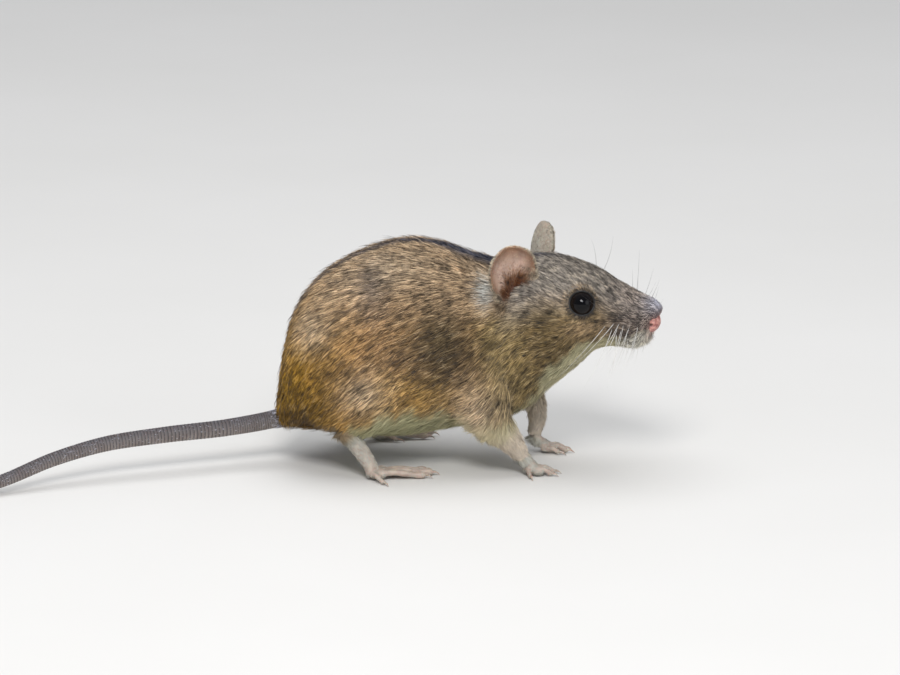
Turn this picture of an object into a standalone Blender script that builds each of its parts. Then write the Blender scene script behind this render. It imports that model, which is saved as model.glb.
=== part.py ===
"""Striped field mouse (Apodemus agrarius): a still, life-size model of the whole animal.

The mouse stands on all four feet with its back arched, its head turned a little to its right, and
its tail sweeping back and down to the floor. Lengths in the tables are millimetres: +X runs from
rump to nose, +Y is the animal's left and +Z is up, with the soles and the tail's end on Z = 0.
Every solid is the outline of the coat, out to the tips of the hair.
"""

import math

import bmesh
import bpy
import numpy as np
from mathutils import Matrix

MM = 0.001
GAP = 0.3            # clear width between neighbouring solids
ORIGIN = (-35.13, -4.67)  # middle of the box round the whole animal, seen from above

HEAD_TURN = math.radians(-18.0)  # towards the animal's right
TURN_FROM, TURN_TO = -1.0, 11.0  # the neck bends between these x
TURN_PIVOT = 5.0

# Cross sections of head, neck and trunk, from the root of the tail to the muzzle's tip.
# top x, top z, bottom x, bottom z, half width, height of the widest place (0 bottom, 1 top)
SECTIONS = (
    (-32.9, 10.2, -32.9, 7.6, 1.6, 0.50),  # 0 root of the tail
    (-32.3, 14.0, -32.3, 7.0, 4.8, 0.46),  # 1 seat
    (-31.0, 20.5, -30.8, 6.7, 8.3, 0.45),  # 2 rump
    (-28.4, 27.5, -27.6, 6.5, 11.0, 0.44),  # 3 haunch
    (-23.9, 32.8, -23.6, 6.2, 13.0, 0.44),  # 4 croup
    (-17.5, 36.6, -17.8, 5.6, 14.0, 0.44),  # 5 loin
    (-10.6, 38.6, -11.4, 5.2, 13.9, 0.44),  # 6 crest of the back
    (-5.0, 38.1, -5.0, 6.1, 13.1, 0.45),  # 7 ribs
    (-0.8, 36.7, 1.0, 7.2, 12.0, 0.46),  # 8 withers
    (2.6, 35.6, 7.6, 8.8, 10.8, 0.46),  # 9 shoulder point
    (5.4, 35.1, 11.0, 11.0, 9.7, 0.48),  # 10 nape
    (8.1, 35.6, 13.6, 13.4, 8.9, 0.50),  # 11 back of the skull
    (11.1, 36.5, 16.1, 15.6, 8.4, 0.52),  # 12 ears
    (14.8, 36.6, 19.0, 18.1, 7.9, 0.52),  # 13 cheeks
    (18.7, 35.8, 21.6, 20.5, 6.9, 0.52),  # 14 eyes
    (23.0, 34.3, 24.2, 21.6, 5.6, 0.48),  # 15 front of the eyes
    (26.9, 32.3, 27.0, 22.0, 4.5, 0.44),  # 16 muzzle
    (29.9, 30.9, 29.5, 22.5, 4.0, 0.44),  # 17 whisker pads
    (31.9, 30.1, 30.7, 23.4, 2.9, 0.48),  # 18 behind the nose
    (33.1, 28.8, 31.4, 24.8, 1.8, 0.50),  # 19 muzzle's tip
)
SECTION_ROUNDNESS = 0.92  # 1 is an ellipse, less is squarer
BODY_SIDES = 22
RINGS_PER_SECTION = 2
TRUNK_END = 9.0      # number of the section where the trunk meets the neck
NECK_END = 11.0      # and where the neck meets the head
CUT = 0.06           # half of a cut, as a share of the distance between two sections

# Haunches: one ellipsoid a side, mirrored in y.
HAUNCH_CENTRE = (-19.4, 8.8, 18.4)
HAUNCH_RADII = (11.2, 6.0, 11.6)
HAUNCH_LEAN = math.radians(-14.0)
HAUNCH_SPLAY = math.radians(9.0)  # the knees stand wider than the rump

# Forelegs from the shoulder to the wrist: x, y, z, half width, half depth.
FORELEGS = {
    "right": (
        (1.4, -8.0, 19.0, 3.0, 5.0),
        (1.8, -8.7, 14.0, 3.6, 5.2),
        (3.7, -8.9, 9.8, 3.0, 3.4),
        (5.8, -8.5, 7.2, 2.2, 2.35),
        (7.3, -8.0, 5.2, 1.7, 1.85),
        (8.3, -7.7, 3.8, 1.45, 1.55),
    ),
    "left": (
        (3.0, 7.6, 20.0, 3.0, 4.6),
        (5.2, 7.9, 15.5, 3.2, 4.2),
        (8.6, 7.4, 11.6, 2.4, 2.8),
        (10.9, 6.9, 8.6, 1.7, 1.9),
        (11.4, 6.6, 5.9, 1.4, 1.55),
        (11.0, 6.5, 3.6, 1.2, 1.25),
    ),
}

# Paws from the wrist, and hind feet from the heel, to the roots of the toes.
FOREPAWS = {
    "right": (
        (8.5, -7.7, 3.5, 1.4, 1.35),
        (9.2, -7.7, 2.6, 1.55, 1.2),
        (10.2, -7.7, 1.75, 1.75, 1.05),
        (11.1, -7.7, 0.95, 1.75, 1.05),
        (12.0, -7.7, 0.80, 1.5, 0.9),
    ),
    "left": (
        (10.9, 6.5, 3.2, 1.15, 1.15),
        (11.4, 6.5, 2.3, 1.4, 1.1),
        (12.4, 6.6, 1.6, 1.6, 1.0),
        (13.3, 6.7, 0.95, 1.65, 1.05),
        (14.2, 6.7, 0.80, 1.4, 0.9),
    ),
}
HINDFEET = {
    "right": (
        (-20.9, -9.8, 8.8, 1.7, 1.7),
        (-19.7, -9.9, 7.2, 1.7, 1.7),
        (-18.2, -10.0, 5.0, 1.6, 1.5),
        (-16.8, -10.1, 2.9, 1.6, 1.35),
        (-15.7, -10.1, 1.15, 1.8, 1.2),
        (-14.4, -9.9, 0.95, 1.7, 1.0),
    ),
    "left": (
        (-22.1, 12.4, 8.8, 1.7, 1.7),
        (-20.8, 12.7, 7.2, 1.7, 1.7),
        (-18.9, 13.5, 5.0, 1.6, 1.5),
        (-17.0, 14.3, 2.9, 1.6, 1.35),
        (-15.5, 14.9, 1.15, 1.8, 1.2),
        (-14.2, 15.4, 0.95, 1.7, 1.0),
    ),
}

# Toes: root x, y, z; then tip x, y; then the radius at the root. Inner toe first.
FORE_TOES = {
    "right": (
        ((10.6, -6.3, 1.0), (13.6, -5.5), 0.60),
        ((11.3, -7.2, 1.1), (14.9, -7.0), 0.66),
        ((11.2, -8.1, 1.1), (14.4, -8.8), 0.66),
        ((9.4, -8.5, 1.2), (10.3, -11.2), 0.58),
    ),
    "left": (
        ((13.0, 5.4, 1.0), (16.0, 4.5), 0.60),
        ((13.7, 6.2, 1.1), (17.4, 6.0), 0.66),
        ((13.6, 7.2, 1.1), (17.0, 7.9), 0.66),
        ((12.2, 7.8, 1.1), (14.3, 9.9), 0.58),
    ),
}
HIND_TOES = {
    "right": (
        ((-15.6, -8.7, 1.3), (-12.0, -6.3), 0.62),
        ((-14.8, -9.0, 1.1), (-6.3, -5.9), 0.74),
        ((-14.6, -9.9, 1.1), (-5.3, -7.9), 0.76),
        ((-14.9, -10.8, 1.1), (-6.5, -9.9), 0.74),
        ((-16.4, -11.3, 1.2), (-13.6, -14.8), 0.64),
    ),
    "left": (
        ((-15.2, 14.0, 1.3), (-11.3, 12.8), 0.62),
        ((-14.4, 14.6, 1.1), (-6.2, 15.1), 0.74),
        ((-14.3, 15.4, 1.1), (-5.4, 17.2), 0.76),
        ((-14.8, 16.2, 1.1), (-6.9, 19.1), 0.74),
        ((-16.3, 16.5, 1.2), (-12.6, 20.0), 0.64),
    ),
}
TOE_LIFT = 0.30      # rise of a toe's first joint above the straight line
TOE_ROOT_DEPTH = 1.0  # how far a toe's root runs on inside the foot
CLAW_LENGTH = 1.0
TIP_RADIUS = 0.14

# Tail: centre line and thickness, sampled from a smooth curve through these points.
TAIL_LINE = (
    (-29.6, 0.4, 8.3),
    (-33.0, -0.6, 7.7),
    (-40.0, -3.0, 7.0),
    (-51.0, -7.0, 6.7),
    (-60.5, -10.6, 6.1),
    (-68.5, -14.4, 4.6),
    (-76.5, -19.2, 2.3),
    (-84.0, -23.6, 0.95),
    (-92.5, -27.2, 0.72),
    (-102.0, -29.0, 0.42),
)
TAIL_RADIUS = 1.65
TAIL_TIP_RADIUS = 0.45
TAIL_TAPER = 0.5     # under 1 keeps it thick until near the tip
TAIL_LENGTH = 80.0   # along the line, root inside the rump included
TAIL_PARTS = 4
TAIL_STEPS = 9       # rings in each length

# Ears: outline and cup of one pinna, then its place on the straight head.
EAR_LENGTH = 10.5
EAR_HALF_WIDTH = 4.3
EAR_WIDEST = 0.58    # share of the length, from the root
EAR_ROOT_NARROWING = 0.5  # share of the half width lost at the root
EAR_CUP = 2.1
EAR_TIP_CURL = 0.9   # how far the tip leans towards the ear's face
EAR_ROLL = math.radians(83.0)  # how far the rim is rolled in on each side
EAR_TIP_ANGLE = math.radians(83.0)  # 90 would close the tip to a point
EAR_THICKNESS = 0.7
EAR_ROOT = (9.5, 6.4, 29.7)
EAR_FACING = {"right": math.radians(40.0), "left": math.radians(54.0)}  # forwards of straight out
EAR_BACK_LEAN = math.radians(4.0)
EAR_SPREAD = math.radians(17.0)

EYE_CENTRE = (20.75, 5.3, 29.9)
EYE_RADIUS = 2.0
NOSE_CENTRE = (31.7, 0.0, 26.35)
NOSE_RADII = (1.6, 2.0, 1.8)

FLOOR_BLOCK = (150.0, 80.0, 6.0)  # what is cut away below the soles

SIDE_SIGNS = {"left": 1.0, "right": -1.0}

# Facets: points round a section and rings along it.
FORELEG_FACETS = (12, 11)
FOOT_FACETS = (10, 9)
HAUNCH_FACETS = (18, 12)
EYE_FACETS = (14, 8)
NOSE_FACETS = (12, 9)
EAR_FACETS = 9

COAT_BROWN = (0.24, 0.17, 0.10, 1.0)
COAT_DARK = (0.17, 0.13, 0.09, 1.0)
COAT_PALE = (0.42, 0.36, 0.27, 1.0)
BARE_SKIN = (0.52, 0.40, 0.34, 1.0)
EAR_SKIN = (0.36, 0.25, 0.18, 1.0)
TAIL_SKIN = (0.20, 0.17, 0.16, 1.0)
NOSE_PINK = (0.55, 0.28, 0.25, 1.0)
EYE_BLACK = (0.01, 0.01, 0.012, 1.0)


def clear_scene():
    for old in list(bpy.data.objects):
        bpy.data.objects.remove(old, do_unlink=True)


def make_collection(name, hidden=False):
    group = bpy.data.collections.new(name)
    group.hide_render = hidden
    bpy.context.scene.collection.children.link(group)
    return group


def material(name, colour, roughness):
    skin = bpy.data.materials.new(name)
    skin.use_nodes = True
    shader = skin.node_tree.nodes["Principled BSDF"]
    shader.inputs["Base Color"].default_value = colour
    shader.inputs["Roughness"].default_value = roughness
    shader.inputs["Metallic"].default_value = 0.0
    skin.diffuse_color = colour
    return skin


def smooth_rows(table, rows):
    """A cubic curve through the rows of a table, read at fractional row numbers.

    The slope at each row is that of the parabola through it and its neighbours, with the rows
    spaced by the distance between their first three values, so uneven rows don't ripple.
    """
    table = np.asarray(table, float)
    steps = np.linalg.norm(np.diff(table[:, :3], axis=0), axis=1)
    knots = np.concatenate([[0.0], np.cumsum(steps)])
    slopes = np.gradient(table, knots, axis=0)
    rows = np.clip(np.asarray(rows, float), 0.0, len(table) - 1.0)
    first = np.minimum(rows.astype(int), len(table) - 2)
    part = (rows - first)[:, None]
    width = steps[first][:, None]
    start, end = table[first], table[first + 1]
    rise_start, rise_end = slopes[first] * width, slopes[first + 1] * width
    return (
        start * (2 * part**3 - 3 * part**2 + 1)
        + rise_start * (part**3 - 2 * part**2 + part)
        + end * (3 * part**2 - 2 * part**3)
        + rise_end * (part**3 - part**2)
    )


def turn_head(points):
    """Turns the head about the vertical at the neck, bending the neck evenly on the way."""
    share = np.clip((points[..., 0] - TURN_FROM) / (TURN_TO - TURN_FROM), 0.0, 1.0)
    angle = HEAD_TURN * share * share * (3.0 - 2.0 * share)
    x, y = points[..., 0] - TURN_PIVOT, points[..., 1]
    turned = points.copy()
    turned[..., 0] = TURN_PIVOT + x * np.cos(angle) - y * np.sin(angle)
    turned[..., 1] = x * np.sin(angle) + y * np.cos(angle)
    return turned


def add_object(name, mesh, group, skin=None):
    mesh.name = name
    solid = bpy.data.objects.new(name, mesh)
    group.objects.link(solid)
    if group.hide_render:
        solid.hide_render = True
        solid.display_type = "WIRE"
    if skin:
        mesh.materials.clear()
        mesh.materials.append(skin)
        mesh.shade_smooth()
        mesh.set_sharp_from_angle(angle=math.radians(50.0))
    return solid


def to_world(points):
    """From the table's millimetres to metres about the model's origin."""
    return (points - np.array((ORIGIN[0], ORIGIN[1], 0.0))) * MM


def ring_mesh(name, rings):
    """A closed skin over rings of points, each end closed by a fan to the middle of its ring."""
    count, sides = rings.shape[:2]
    ends = np.stack([rings[0].mean(axis=0), rings[-1].mean(axis=0)])
    points = to_world(np.concatenate([rings.reshape(-1, 3), ends]))
    ring, side = np.meshgrid(np.arange(count - 1), np.arange(sides), indexing="ij")
    a = ring * sides + side
    b = ring * sides + (side + 1) % sides
    quads = np.stack([a, b, b + sides, a + sides], axis=-1).reshape(-1, 4).tolist()
    edge = np.arange(sides)
    after = (edge + 1) % sides
    last = (count - 1) * sides
    start_fan = np.stack([after, edge, np.full(sides, count * sides)], axis=-1).tolist()
    end_fan = np.stack([last + edge, last + after, np.full(sides, count * sides + 1)], axis=-1).tolist()
    mesh = bpy.data.meshes.new(name)
    mesh.from_pydata(points.tolist(), [], quads + start_fan + end_fan)
    fix_normals(mesh)
    return mesh


def fix_normals(mesh):
    shape = bmesh.new()
    shape.from_mesh(mesh)
    bmesh.ops.recalc_face_normals(shape, faces=shape.faces)
    shape.to_mesh(mesh)
    shape.free()


def body_mesh(name, start, end, grow=0.0):
    """The length of the body between two section numbers, larger all round by grow.

    A ring runs round the oval between its section's top and bottom points. The widest place
    sits at its own share of the height, so the upper and lower halves differ.
    """
    count = max(3, round((end - start) * RINGS_PER_SECTION) + 1)
    top_x, top_z, low_x, low_z, width, waist = smooth_rows(SECTIONS, np.linspace(start, end, count)).T
    angle = np.linspace(0.0, 2.0 * math.pi, BODY_SIDES, endpoint=False)
    across = np.sign(np.cos(angle)) * np.abs(np.cos(angle)) ** SECTION_ROUNDNESS
    up = np.sign(np.sin(angle)) * np.abs(np.sin(angle)) ** SECTION_ROUNDNESS
    height = np.hypot(top_x - low_x, top_z - low_z)[:, None]
    share = waist[:, None] + np.where(up > 0.0, 1.0 - waist[:, None], waist[:, None]) * up
    share = share + grow / height * up
    x = low_x[:, None] + (top_x - low_x)[:, None] * share
    y = (width[:, None] + grow) * across
    z = low_z[:, None] + (top_z - low_z)[:, None] * share
    return ring_mesh(name, turn_head(np.stack([x, y, z], axis=-1)))


def limb_mesh(name, stations, facets, grow=0.0):
    """A limb of oval section along its stations.

    Half width is measured sideways and half depth square to that and to the limb's run.
    """
    sides, rings = facets
    rows = smooth_rows(stations, np.linspace(0.0, len(stations) - 1.0, rings))
    centre, half_width, half_depth = rows[:, :3], rows[:, 3], rows[:, 4]
    run = np.gradient(centre, axis=0)
    run = run / np.linalg.norm(run, axis=1)[:, None]
    across = np.cross(run, np.array((0.0, 1.0, 0.0)))
    across = across / np.linalg.norm(across, axis=1)[:, None]
    side = np.cross(across, run)
    angle = np.linspace(0.0, 2.0 * math.pi, sides, endpoint=False)
    outline = (
        centre[:, None]
        + side[:, None] * (np.cos(angle)[:, None] * (half_width[:, None, None] + grow))
        + across[:, None] * (np.sin(angle)[:, None] * (half_depth[:, None, None] + grow))
    )
    return ring_mesh(name, outline)


def tube_mesh(name, centre, radius):
    """A round tube along a line, made as a bevelled curve with filled caps and then welded."""
    curve = bpy.data.curves.new(name, "CURVE")
    curve.dimensions = "3D"
    curve.bevel_depth = MM
    curve.bevel_resolution = 2
    curve.use_fill_caps = True
    line = curve.splines.new("POLY")
    line.points.add(len(centre) - 1)
    spots = to_world(centre)
    line.points.foreach_set("co", np.column_stack([spots, np.ones(len(spots))]).ravel())
    line.points.foreach_set("radius", radius)
    guide = bpy.data.objects.new(name + "_line", curve)
    bpy.context.scene.collection.objects.link(guide)
    graph = bpy.context.evaluated_depsgraph_get()
    mesh = bpy.data.meshes.new_from_object(guide.evaluated_get(graph))
    bpy.data.objects.remove(guide, do_unlink=True)
    shape = bmesh.new()
    shape.from_mesh(mesh)
    bmesh.ops.remove_doubles(shape, verts=shape.verts, dist=1e-6)
    bmesh.ops.recalc_face_normals(shape, faces=shape.faces)
    shape.to_mesh(mesh)
    shape.free()
    return mesh


def ellipsoid_mesh(name, centre, radii, facets, lean=0.0, splay=0.0):
    """A sphere stretched to the radii, leaning in its own side view and splayed seen from above."""
    segments, rings = facets
    mesh = bpy.data.meshes.new(name)
    shape = bmesh.new()
    place = (
        Matrix.Translation(to_world(np.asarray(centre, float)))
        @ Matrix.Rotation(splay, 4, "Z")
        @ Matrix.Rotation(lean, 4, "Y")
        @ Matrix.Diagonal([radius * MM for radius in radii] + [1.0])
    )
    bmesh.ops.create_uvsphere(shape, u_segments=segments, v_segments=rings, radius=1.0, matrix=place)
    shape.to_mesh(mesh)
    shape.free()
    return mesh


def toe_mesh(name, root, tip, radius):
    """A toe from its root to the tip of its claw: two low joints, a pad, then the claw."""
    root = np.asarray(root, float)
    floor_tip = np.array((tip[0], tip[1], TIP_RADIUS * 0.5))
    reach = floor_tip - root
    length = np.linalg.norm(reach)
    claw = CLAW_LENGTH / length
    share = np.array((-TOE_ROOT_DEPTH / length, 0.30, 0.62, 1.0 - claw, 1.0 - 0.45 * claw, 1.0))
    size = np.array((radius, radius * 0.86, radius * 0.80, radius * 0.92, 0.40, TIP_RADIUS))
    height = np.array((root[2], root[2] * 0.85 + TOE_LIFT, 0.72 * radius + TOE_LIFT,
                       0.80 * radius, 0.62 * radius, TIP_RADIUS * 0.5))
    centre = root + reach * share[:, None]
    centre[:, 2] = height
    return tube_mesh(name, centre, size)


def cut(solid, cutter):
    """Takes the cutter out of the solid."""
    hole = solid.modifiers.new("cut_" + cutter.name, "BOOLEAN")
    hole.operation = "DIFFERENCE"
    hole.solver = "EXACT"
    hole.object = cutter


def join(solid, other):
    """Joins the other shape to the solid as one body."""
    union = solid.modifiers.new("join_" + other.name, "BOOLEAN")
    union.operation = "UNION"
    union.solver = "EXACT"
    union.object = other


def floor_block(group):
    """Everything below the floor, so that soles and tail end in small flats on one level."""
    mesh = bpy.data.meshes.new("below_floor")
    shape = bmesh.new()
    place = (
        Matrix.Translation((0.0, 0.0, -FLOOR_BLOCK[2] * MM / 2.0))
        @ Matrix.Diagonal([side * MM for side in FLOOR_BLOCK] + [1.0])
    )
    bmesh.ops.create_cube(shape, size=1.0, matrix=place)
    shape.to_mesh(mesh)
    shape.free()
    return add_object("below_floor", mesh, group)


def foot(name, stations, toes, parts, cutters, skin, below):
    """One foot: the flat of the foot with its toes joined to it, cut level at the floor."""
    solid = add_object(name, limb_mesh(name, stations, FOOT_FACETS), parts, skin)
    for number, (root, tip, radius) in enumerate(toes):
        toe_name = f"{name}_toe_{number + 1}"
        join(solid, add_object(toe_name, toe_mesh(toe_name, root, tip, radius), cutters))
    cut(solid, below)
    return solid


def ear_mesh(name, word):
    """The pinna: a rounded leaf, an ellipse above its widest place and narrower towards the root.

    Across the leaf the rim stands forward of the middle by the cup's depth.
    """
    side = SIDE_SIGNS[word]
    rise, across = np.meshgrid(
        np.sin(np.linspace(0.0, EAR_TIP_ANGLE, EAR_FACETS)),
        np.linspace(-1.0, 1.0, EAR_FACETS), indexing="ij")
    above = np.clip((rise - EAR_WIDEST) / (1.0 - EAR_WIDEST), 0.0, 1.0)
    below = np.clip((EAR_WIDEST - rise) / EAR_WIDEST, 0.0, 1.0)
    half = EAR_HALF_WIDTH * (np.sqrt(1.0 - above**2) - EAR_ROOT_NARROWING * below**2)
    width = half * np.sin(across * EAR_ROLL)
    depth = EAR_CUP * (half / EAR_HALF_WIDTH) * (across**2 - 0.4) + EAR_TIP_CURL * rise**2
    points = np.stack([width, depth, EAR_LENGTH * rise], axis=-1).reshape(-1, 3)
    place = (
        Matrix.Translation(to_world(turn_head(np.array(EAR_ROOT) * (1.0, side, 1.0))))
        @ Matrix.Rotation(HEAD_TURN, 4, "Z")
        @ Matrix.Rotation(-EAR_SPREAD * side, 4, "X")
        @ Matrix.Rotation(-EAR_BACK_LEAN, 4, "Y")
        @ Matrix.Rotation(-side * EAR_FACING[word], 4, "Z")
        @ Matrix.Diagonal((1.0, side, 1.0, 1.0))
        @ Matrix.Scale(MM, 4)
    )
    rows, columns = rise.shape
    row, column = np.meshgrid(np.arange(rows - 1), np.arange(columns - 1), indexing="ij")
    corner = row * columns + column
    quads = np.stack([corner, corner + 1, corner + columns + 1, corner + columns], axis=-1)
    mesh = bpy.data.meshes.new(name)
    mesh.from_pydata(points.tolist(), [], quads.reshape(-1, 4).tolist())
    mesh.transform(place)
    fix_normals(mesh)
    return mesh


def make_body(parts, cutters):
    """Trunk, neck and head: one shape parted by two thin cuts. Returns them with the ears' cutter."""
    last = len(SECTIONS) - 1.0
    trunk = add_object("trunk", body_mesh("trunk", 0.0, TRUNK_END - CUT), parts,
                       material("trunk_coat", COAT_BROWN, 0.85))
    neck = add_object("neck", body_mesh("neck", TRUNK_END + CUT, NECK_END - CUT), parts,
                      material("neck_coat", COAT_DARK, 0.85))
    head = add_object("head", body_mesh("head", NECK_END + CUT, last), parts,
                      material("head_coat", COAT_BROWN, 0.85))
    around_head = add_object("around_head", body_mesh("around_head", TRUNK_END, last, GAP), cutters)
    return trunk, neck, head, around_head


def make_haunch(word, trunk, parts, cutters):
    """Thigh and knee of one hind leg, let into the trunk."""
    side = SIDE_SIGNS[word]
    place = HAUNCH_CENTRE * np.array((1.0, side, 1.0))
    splay = side * HAUNCH_SPLAY
    shape = ellipsoid_mesh("haunch", place, HAUNCH_RADII, HAUNCH_FACETS, HAUNCH_LEAN, splay)
    haunch = add_object(f"hindleg_{word}", shape, parts, material(f"haunch_coat_{word}", COAT_BROWN, 0.85))
    room = [radius + GAP for radius in HAUNCH_RADII]
    shape = ellipsoid_mesh("around_haunch", place, room, HAUNCH_FACETS, HAUNCH_LEAN, splay)
    cut(trunk, add_object(f"around_haunch_{word}", shape, cutters))
    return haunch


def make_foreleg(word, trunk, neck, parts, cutters):
    """Upper arm and forearm, let into trunk and neck. Returns the cutter that clears its paw."""
    shape = limb_mesh("foreleg", FORELEGS[word], FORELEG_FACETS)
    add_object(f"foreleg_{word}", shape, parts, material(f"foreleg_coat_{word}", COAT_PALE, 0.85))
    shape = limb_mesh("around_foreleg", FORELEGS[word], FORELEG_FACETS, GAP)
    around_leg = add_object(f"around_foreleg_{word}", shape, cutters)
    cut(trunk, around_leg)
    cut(neck, around_leg)
    return around_leg


def make_feet(word, haunch, around_leg, below, parts, cutters):
    """Forepaw and hind foot of one side."""
    skin = material(f"foot_skin_{word}", BARE_SKIN, 0.6)
    forepaw = foot(f"forepaw_{word}", FOREPAWS[word], FORE_TOES[word], parts, cutters, skin, below)
    cut(forepaw, around_leg)
    foot(f"hindfoot_{word}", HINDFEET[word], HIND_TOES[word], parts, cutters, skin, below)
    shape = limb_mesh("around_hindfoot", HINDFEET[word], FOOT_FACETS, GAP)
    cut(haunch, add_object(f"around_hindfoot_{word}", shape, cutters))


def make_eye(word, head, parts, cutters):
    """An eyeball in its socket."""
    place = turn_head(EYE_CENTRE * np.array((1.0, SIDE_SIGNS[word], 1.0)))
    shape = ellipsoid_mesh("eye", place, (EYE_RADIUS,) * 3, EYE_FACETS)
    add_object(f"eye_{word}", shape, parts, material(f"eye_{word}", EYE_BLACK, 0.05))
    socket = ellipsoid_mesh("socket", place, (EYE_RADIUS + GAP,) * 3, EYE_FACETS)
    cut(head, add_object(f"socket_{word}", socket, cutters))


def make_ear(word, around_head, parts):
    """One thin pinna, trimmed where it meets the coat of the head."""
    skin = material(f"ear_skin_{word}", EAR_SKIN, 0.6)
    ear = add_object(f"ear_{word}", ear_mesh("ear", word), parts, skin)
    shell = ear.modifiers.new("thickness", "SOLIDIFY")
    shell.thickness = EAR_THICKNESS * MM
    shell.offset = 0.0
    cut(ear, around_head)


def make_nose(head, parts, cutters):
    """The bare pad at the muzzle's tip."""
    place = turn_head(np.array(NOSE_CENTRE))
    shape = ellipsoid_mesh("nose", place, NOSE_RADII, NOSE_FACETS)
    add_object("nose", shape, parts, material("nose_skin", NOSE_PINK, 0.4))
    room = [radius + GAP for radius in NOSE_RADII]
    shape = ellipsoid_mesh("around_nose", place, room, NOSE_FACETS)
    cut(head, add_object("around_nose", shape, cutters))


def make_tail(trunk, below, parts, cutters):
    """The tail in a few lengths, thinning towards its tip; the last lies on the floor."""
    skin = material("tail_skin", TAIL_SKIN, 0.6)
    rows = len(TAIL_LINE) - 1.0
    trim = GAP / 2.0 * rows / TAIL_LENGTH
    for number in range(TAIL_PARTS):
        start = rows * number / TAIL_PARTS + trim * (number > 0)
        end = rows * (number + 1) / TAIL_PARTS - trim * (number < TAIL_PARTS - 1)
        at = np.linspace(start, end, TAIL_STEPS)
        line = smooth_rows(TAIL_LINE, at)
        radius = TAIL_TIP_RADIUS + (TAIL_RADIUS - TAIL_TIP_RADIUS) * (1.0 - at / rows) ** TAIL_TAPER
        name = f"tail_{number + 1}"
        cut(add_object(name, tube_mesh(name, line, radius), parts, skin), below)
        if number == 0:
            cut(trunk, add_object("around_tail", tube_mesh("around_tail", line, radius + GAP), cutters))


def main():
    clear_scene()
    parts = make_collection("field_mouse")
    cutters = make_collection("cutters", hidden=True)
    below = floor_block(cutters)
    trunk, neck, head, around_head = make_body(parts, cutters)
    for word in SIDE_SIGNS:
        haunch = make_haunch(word, trunk, parts, cutters)
        around_leg = make_foreleg(word, trunk, neck, parts, cutters)
        make_feet(word, haunch, around_leg, below, parts, cutters)
        make_eye(word, head, parts, cutters)
        make_ear(word, around_head, parts)
    make_nose(head, parts, cutters)
    make_tail(trunk, below, parts, cutters)


main()
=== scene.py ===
# %% [markdown]
# # A field mouse, life size and still
#
# The plain solids of the mouse already have its outline, out to the tips of the hair. This lesson
# lays one skin inside them, grows a coat of small solid tufts on it, and adds what the coat leaves
# bare: eyes, nose, claws, whiskers and a ringed tail.

import math

import bpy
import numpy as np
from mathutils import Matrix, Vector


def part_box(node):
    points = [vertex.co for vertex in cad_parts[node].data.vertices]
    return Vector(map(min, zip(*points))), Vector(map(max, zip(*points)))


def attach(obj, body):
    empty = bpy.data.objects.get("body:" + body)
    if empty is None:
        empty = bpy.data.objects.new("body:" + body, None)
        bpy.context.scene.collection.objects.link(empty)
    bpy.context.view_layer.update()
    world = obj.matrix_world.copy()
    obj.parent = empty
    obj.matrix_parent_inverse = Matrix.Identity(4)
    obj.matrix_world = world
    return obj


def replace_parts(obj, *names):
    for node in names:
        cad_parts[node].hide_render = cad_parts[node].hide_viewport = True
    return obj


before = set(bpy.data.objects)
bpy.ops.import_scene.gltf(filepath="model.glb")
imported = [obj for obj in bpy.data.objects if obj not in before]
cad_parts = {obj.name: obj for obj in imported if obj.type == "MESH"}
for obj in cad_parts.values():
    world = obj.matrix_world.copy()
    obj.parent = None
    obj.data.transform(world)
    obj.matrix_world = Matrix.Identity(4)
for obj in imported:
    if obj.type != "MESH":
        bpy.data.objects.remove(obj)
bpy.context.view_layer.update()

# %% [markdown]
# ## Measures
#
# Lengths are millimetres in the mouse's own frame: x runs from rump to nose, y to its left, z up,
# and the soles stand on z = 0. The body is a row of oval sections. Each has a top and a bottom
# point, a half width, the height of its widest place, and the depth of the coat over it.

# %% The body's sections
MM = 0.001
SECTIONS = np.array((
    # top x, top z, bottom x, bottom z, half width, waist, coat depth
    (-32.9, 10.2, -32.9, 7.6, 1.6, 0.50, 0.3),  # 0 root of the tail
    (-32.3, 14.0, -32.3, 7.0, 4.8, 0.46, 0.7),  # 1 seat
    (-31.0, 20.5, -30.8, 6.7, 8.3, 0.45, 0.9),  # 2 rump
    (-28.4, 27.5, -27.6, 6.5, 11.0, 0.44, 0.95),  # 3 haunch
    (-23.9, 32.8, -23.6, 6.2, 13.0, 0.44, 0.95),  # 4 croup
    (-17.5, 36.6, -17.8, 5.6, 14.0, 0.44, 0.95),  # 5 loin
    (-10.6, 38.6, -11.4, 5.2, 13.9, 0.44, 0.95),  # 6 crest of the back
    (-5.0, 38.1, -5.0, 6.1, 13.1, 0.45, 0.95),  # 7 ribs
    (-0.8, 36.7, 1.0, 7.2, 12.0, 0.46, 0.95),  # 8 withers
    (2.6, 35.6, 7.6, 8.8, 10.8, 0.46, 0.95),  # 9 shoulder point
    (5.4, 35.1, 11.0, 11.0, 9.7, 0.48, 0.9),  # 10 nape
    (8.1, 35.6, 13.6, 13.4, 8.9, 0.50, 0.85),  # 11 back of the skull
    (11.1, 36.5, 16.1, 15.6, 8.4, 0.52, 0.75),  # 12 ears
    (14.8, 36.6, 19.0, 18.1, 7.9, 0.52, 0.7),  # 13 cheeks
    (18.7, 35.8, 21.6, 20.5, 6.9, 0.52, 0.65),  # 14 eyes
    (23.0, 34.3, 24.2, 21.6, 5.6, 0.48, 0.5),  # 15 front of the eyes
    (26.9, 32.3, 27.0, 22.0, 4.5, 0.44, 0.4),  # 16 muzzle
    (29.9, 30.9, 29.5, 22.5, 4.0, 0.44, 0.3),  # 17 whisker pads
    (31.9, 30.1, 30.7, 23.4, 2.9, 0.48, 0.2),  # 18 behind the nose
    (33.0, 29.0, 31.4, 24.8, 1.8, 0.50, 0.15),  # 19 muzzle's tip
))
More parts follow.
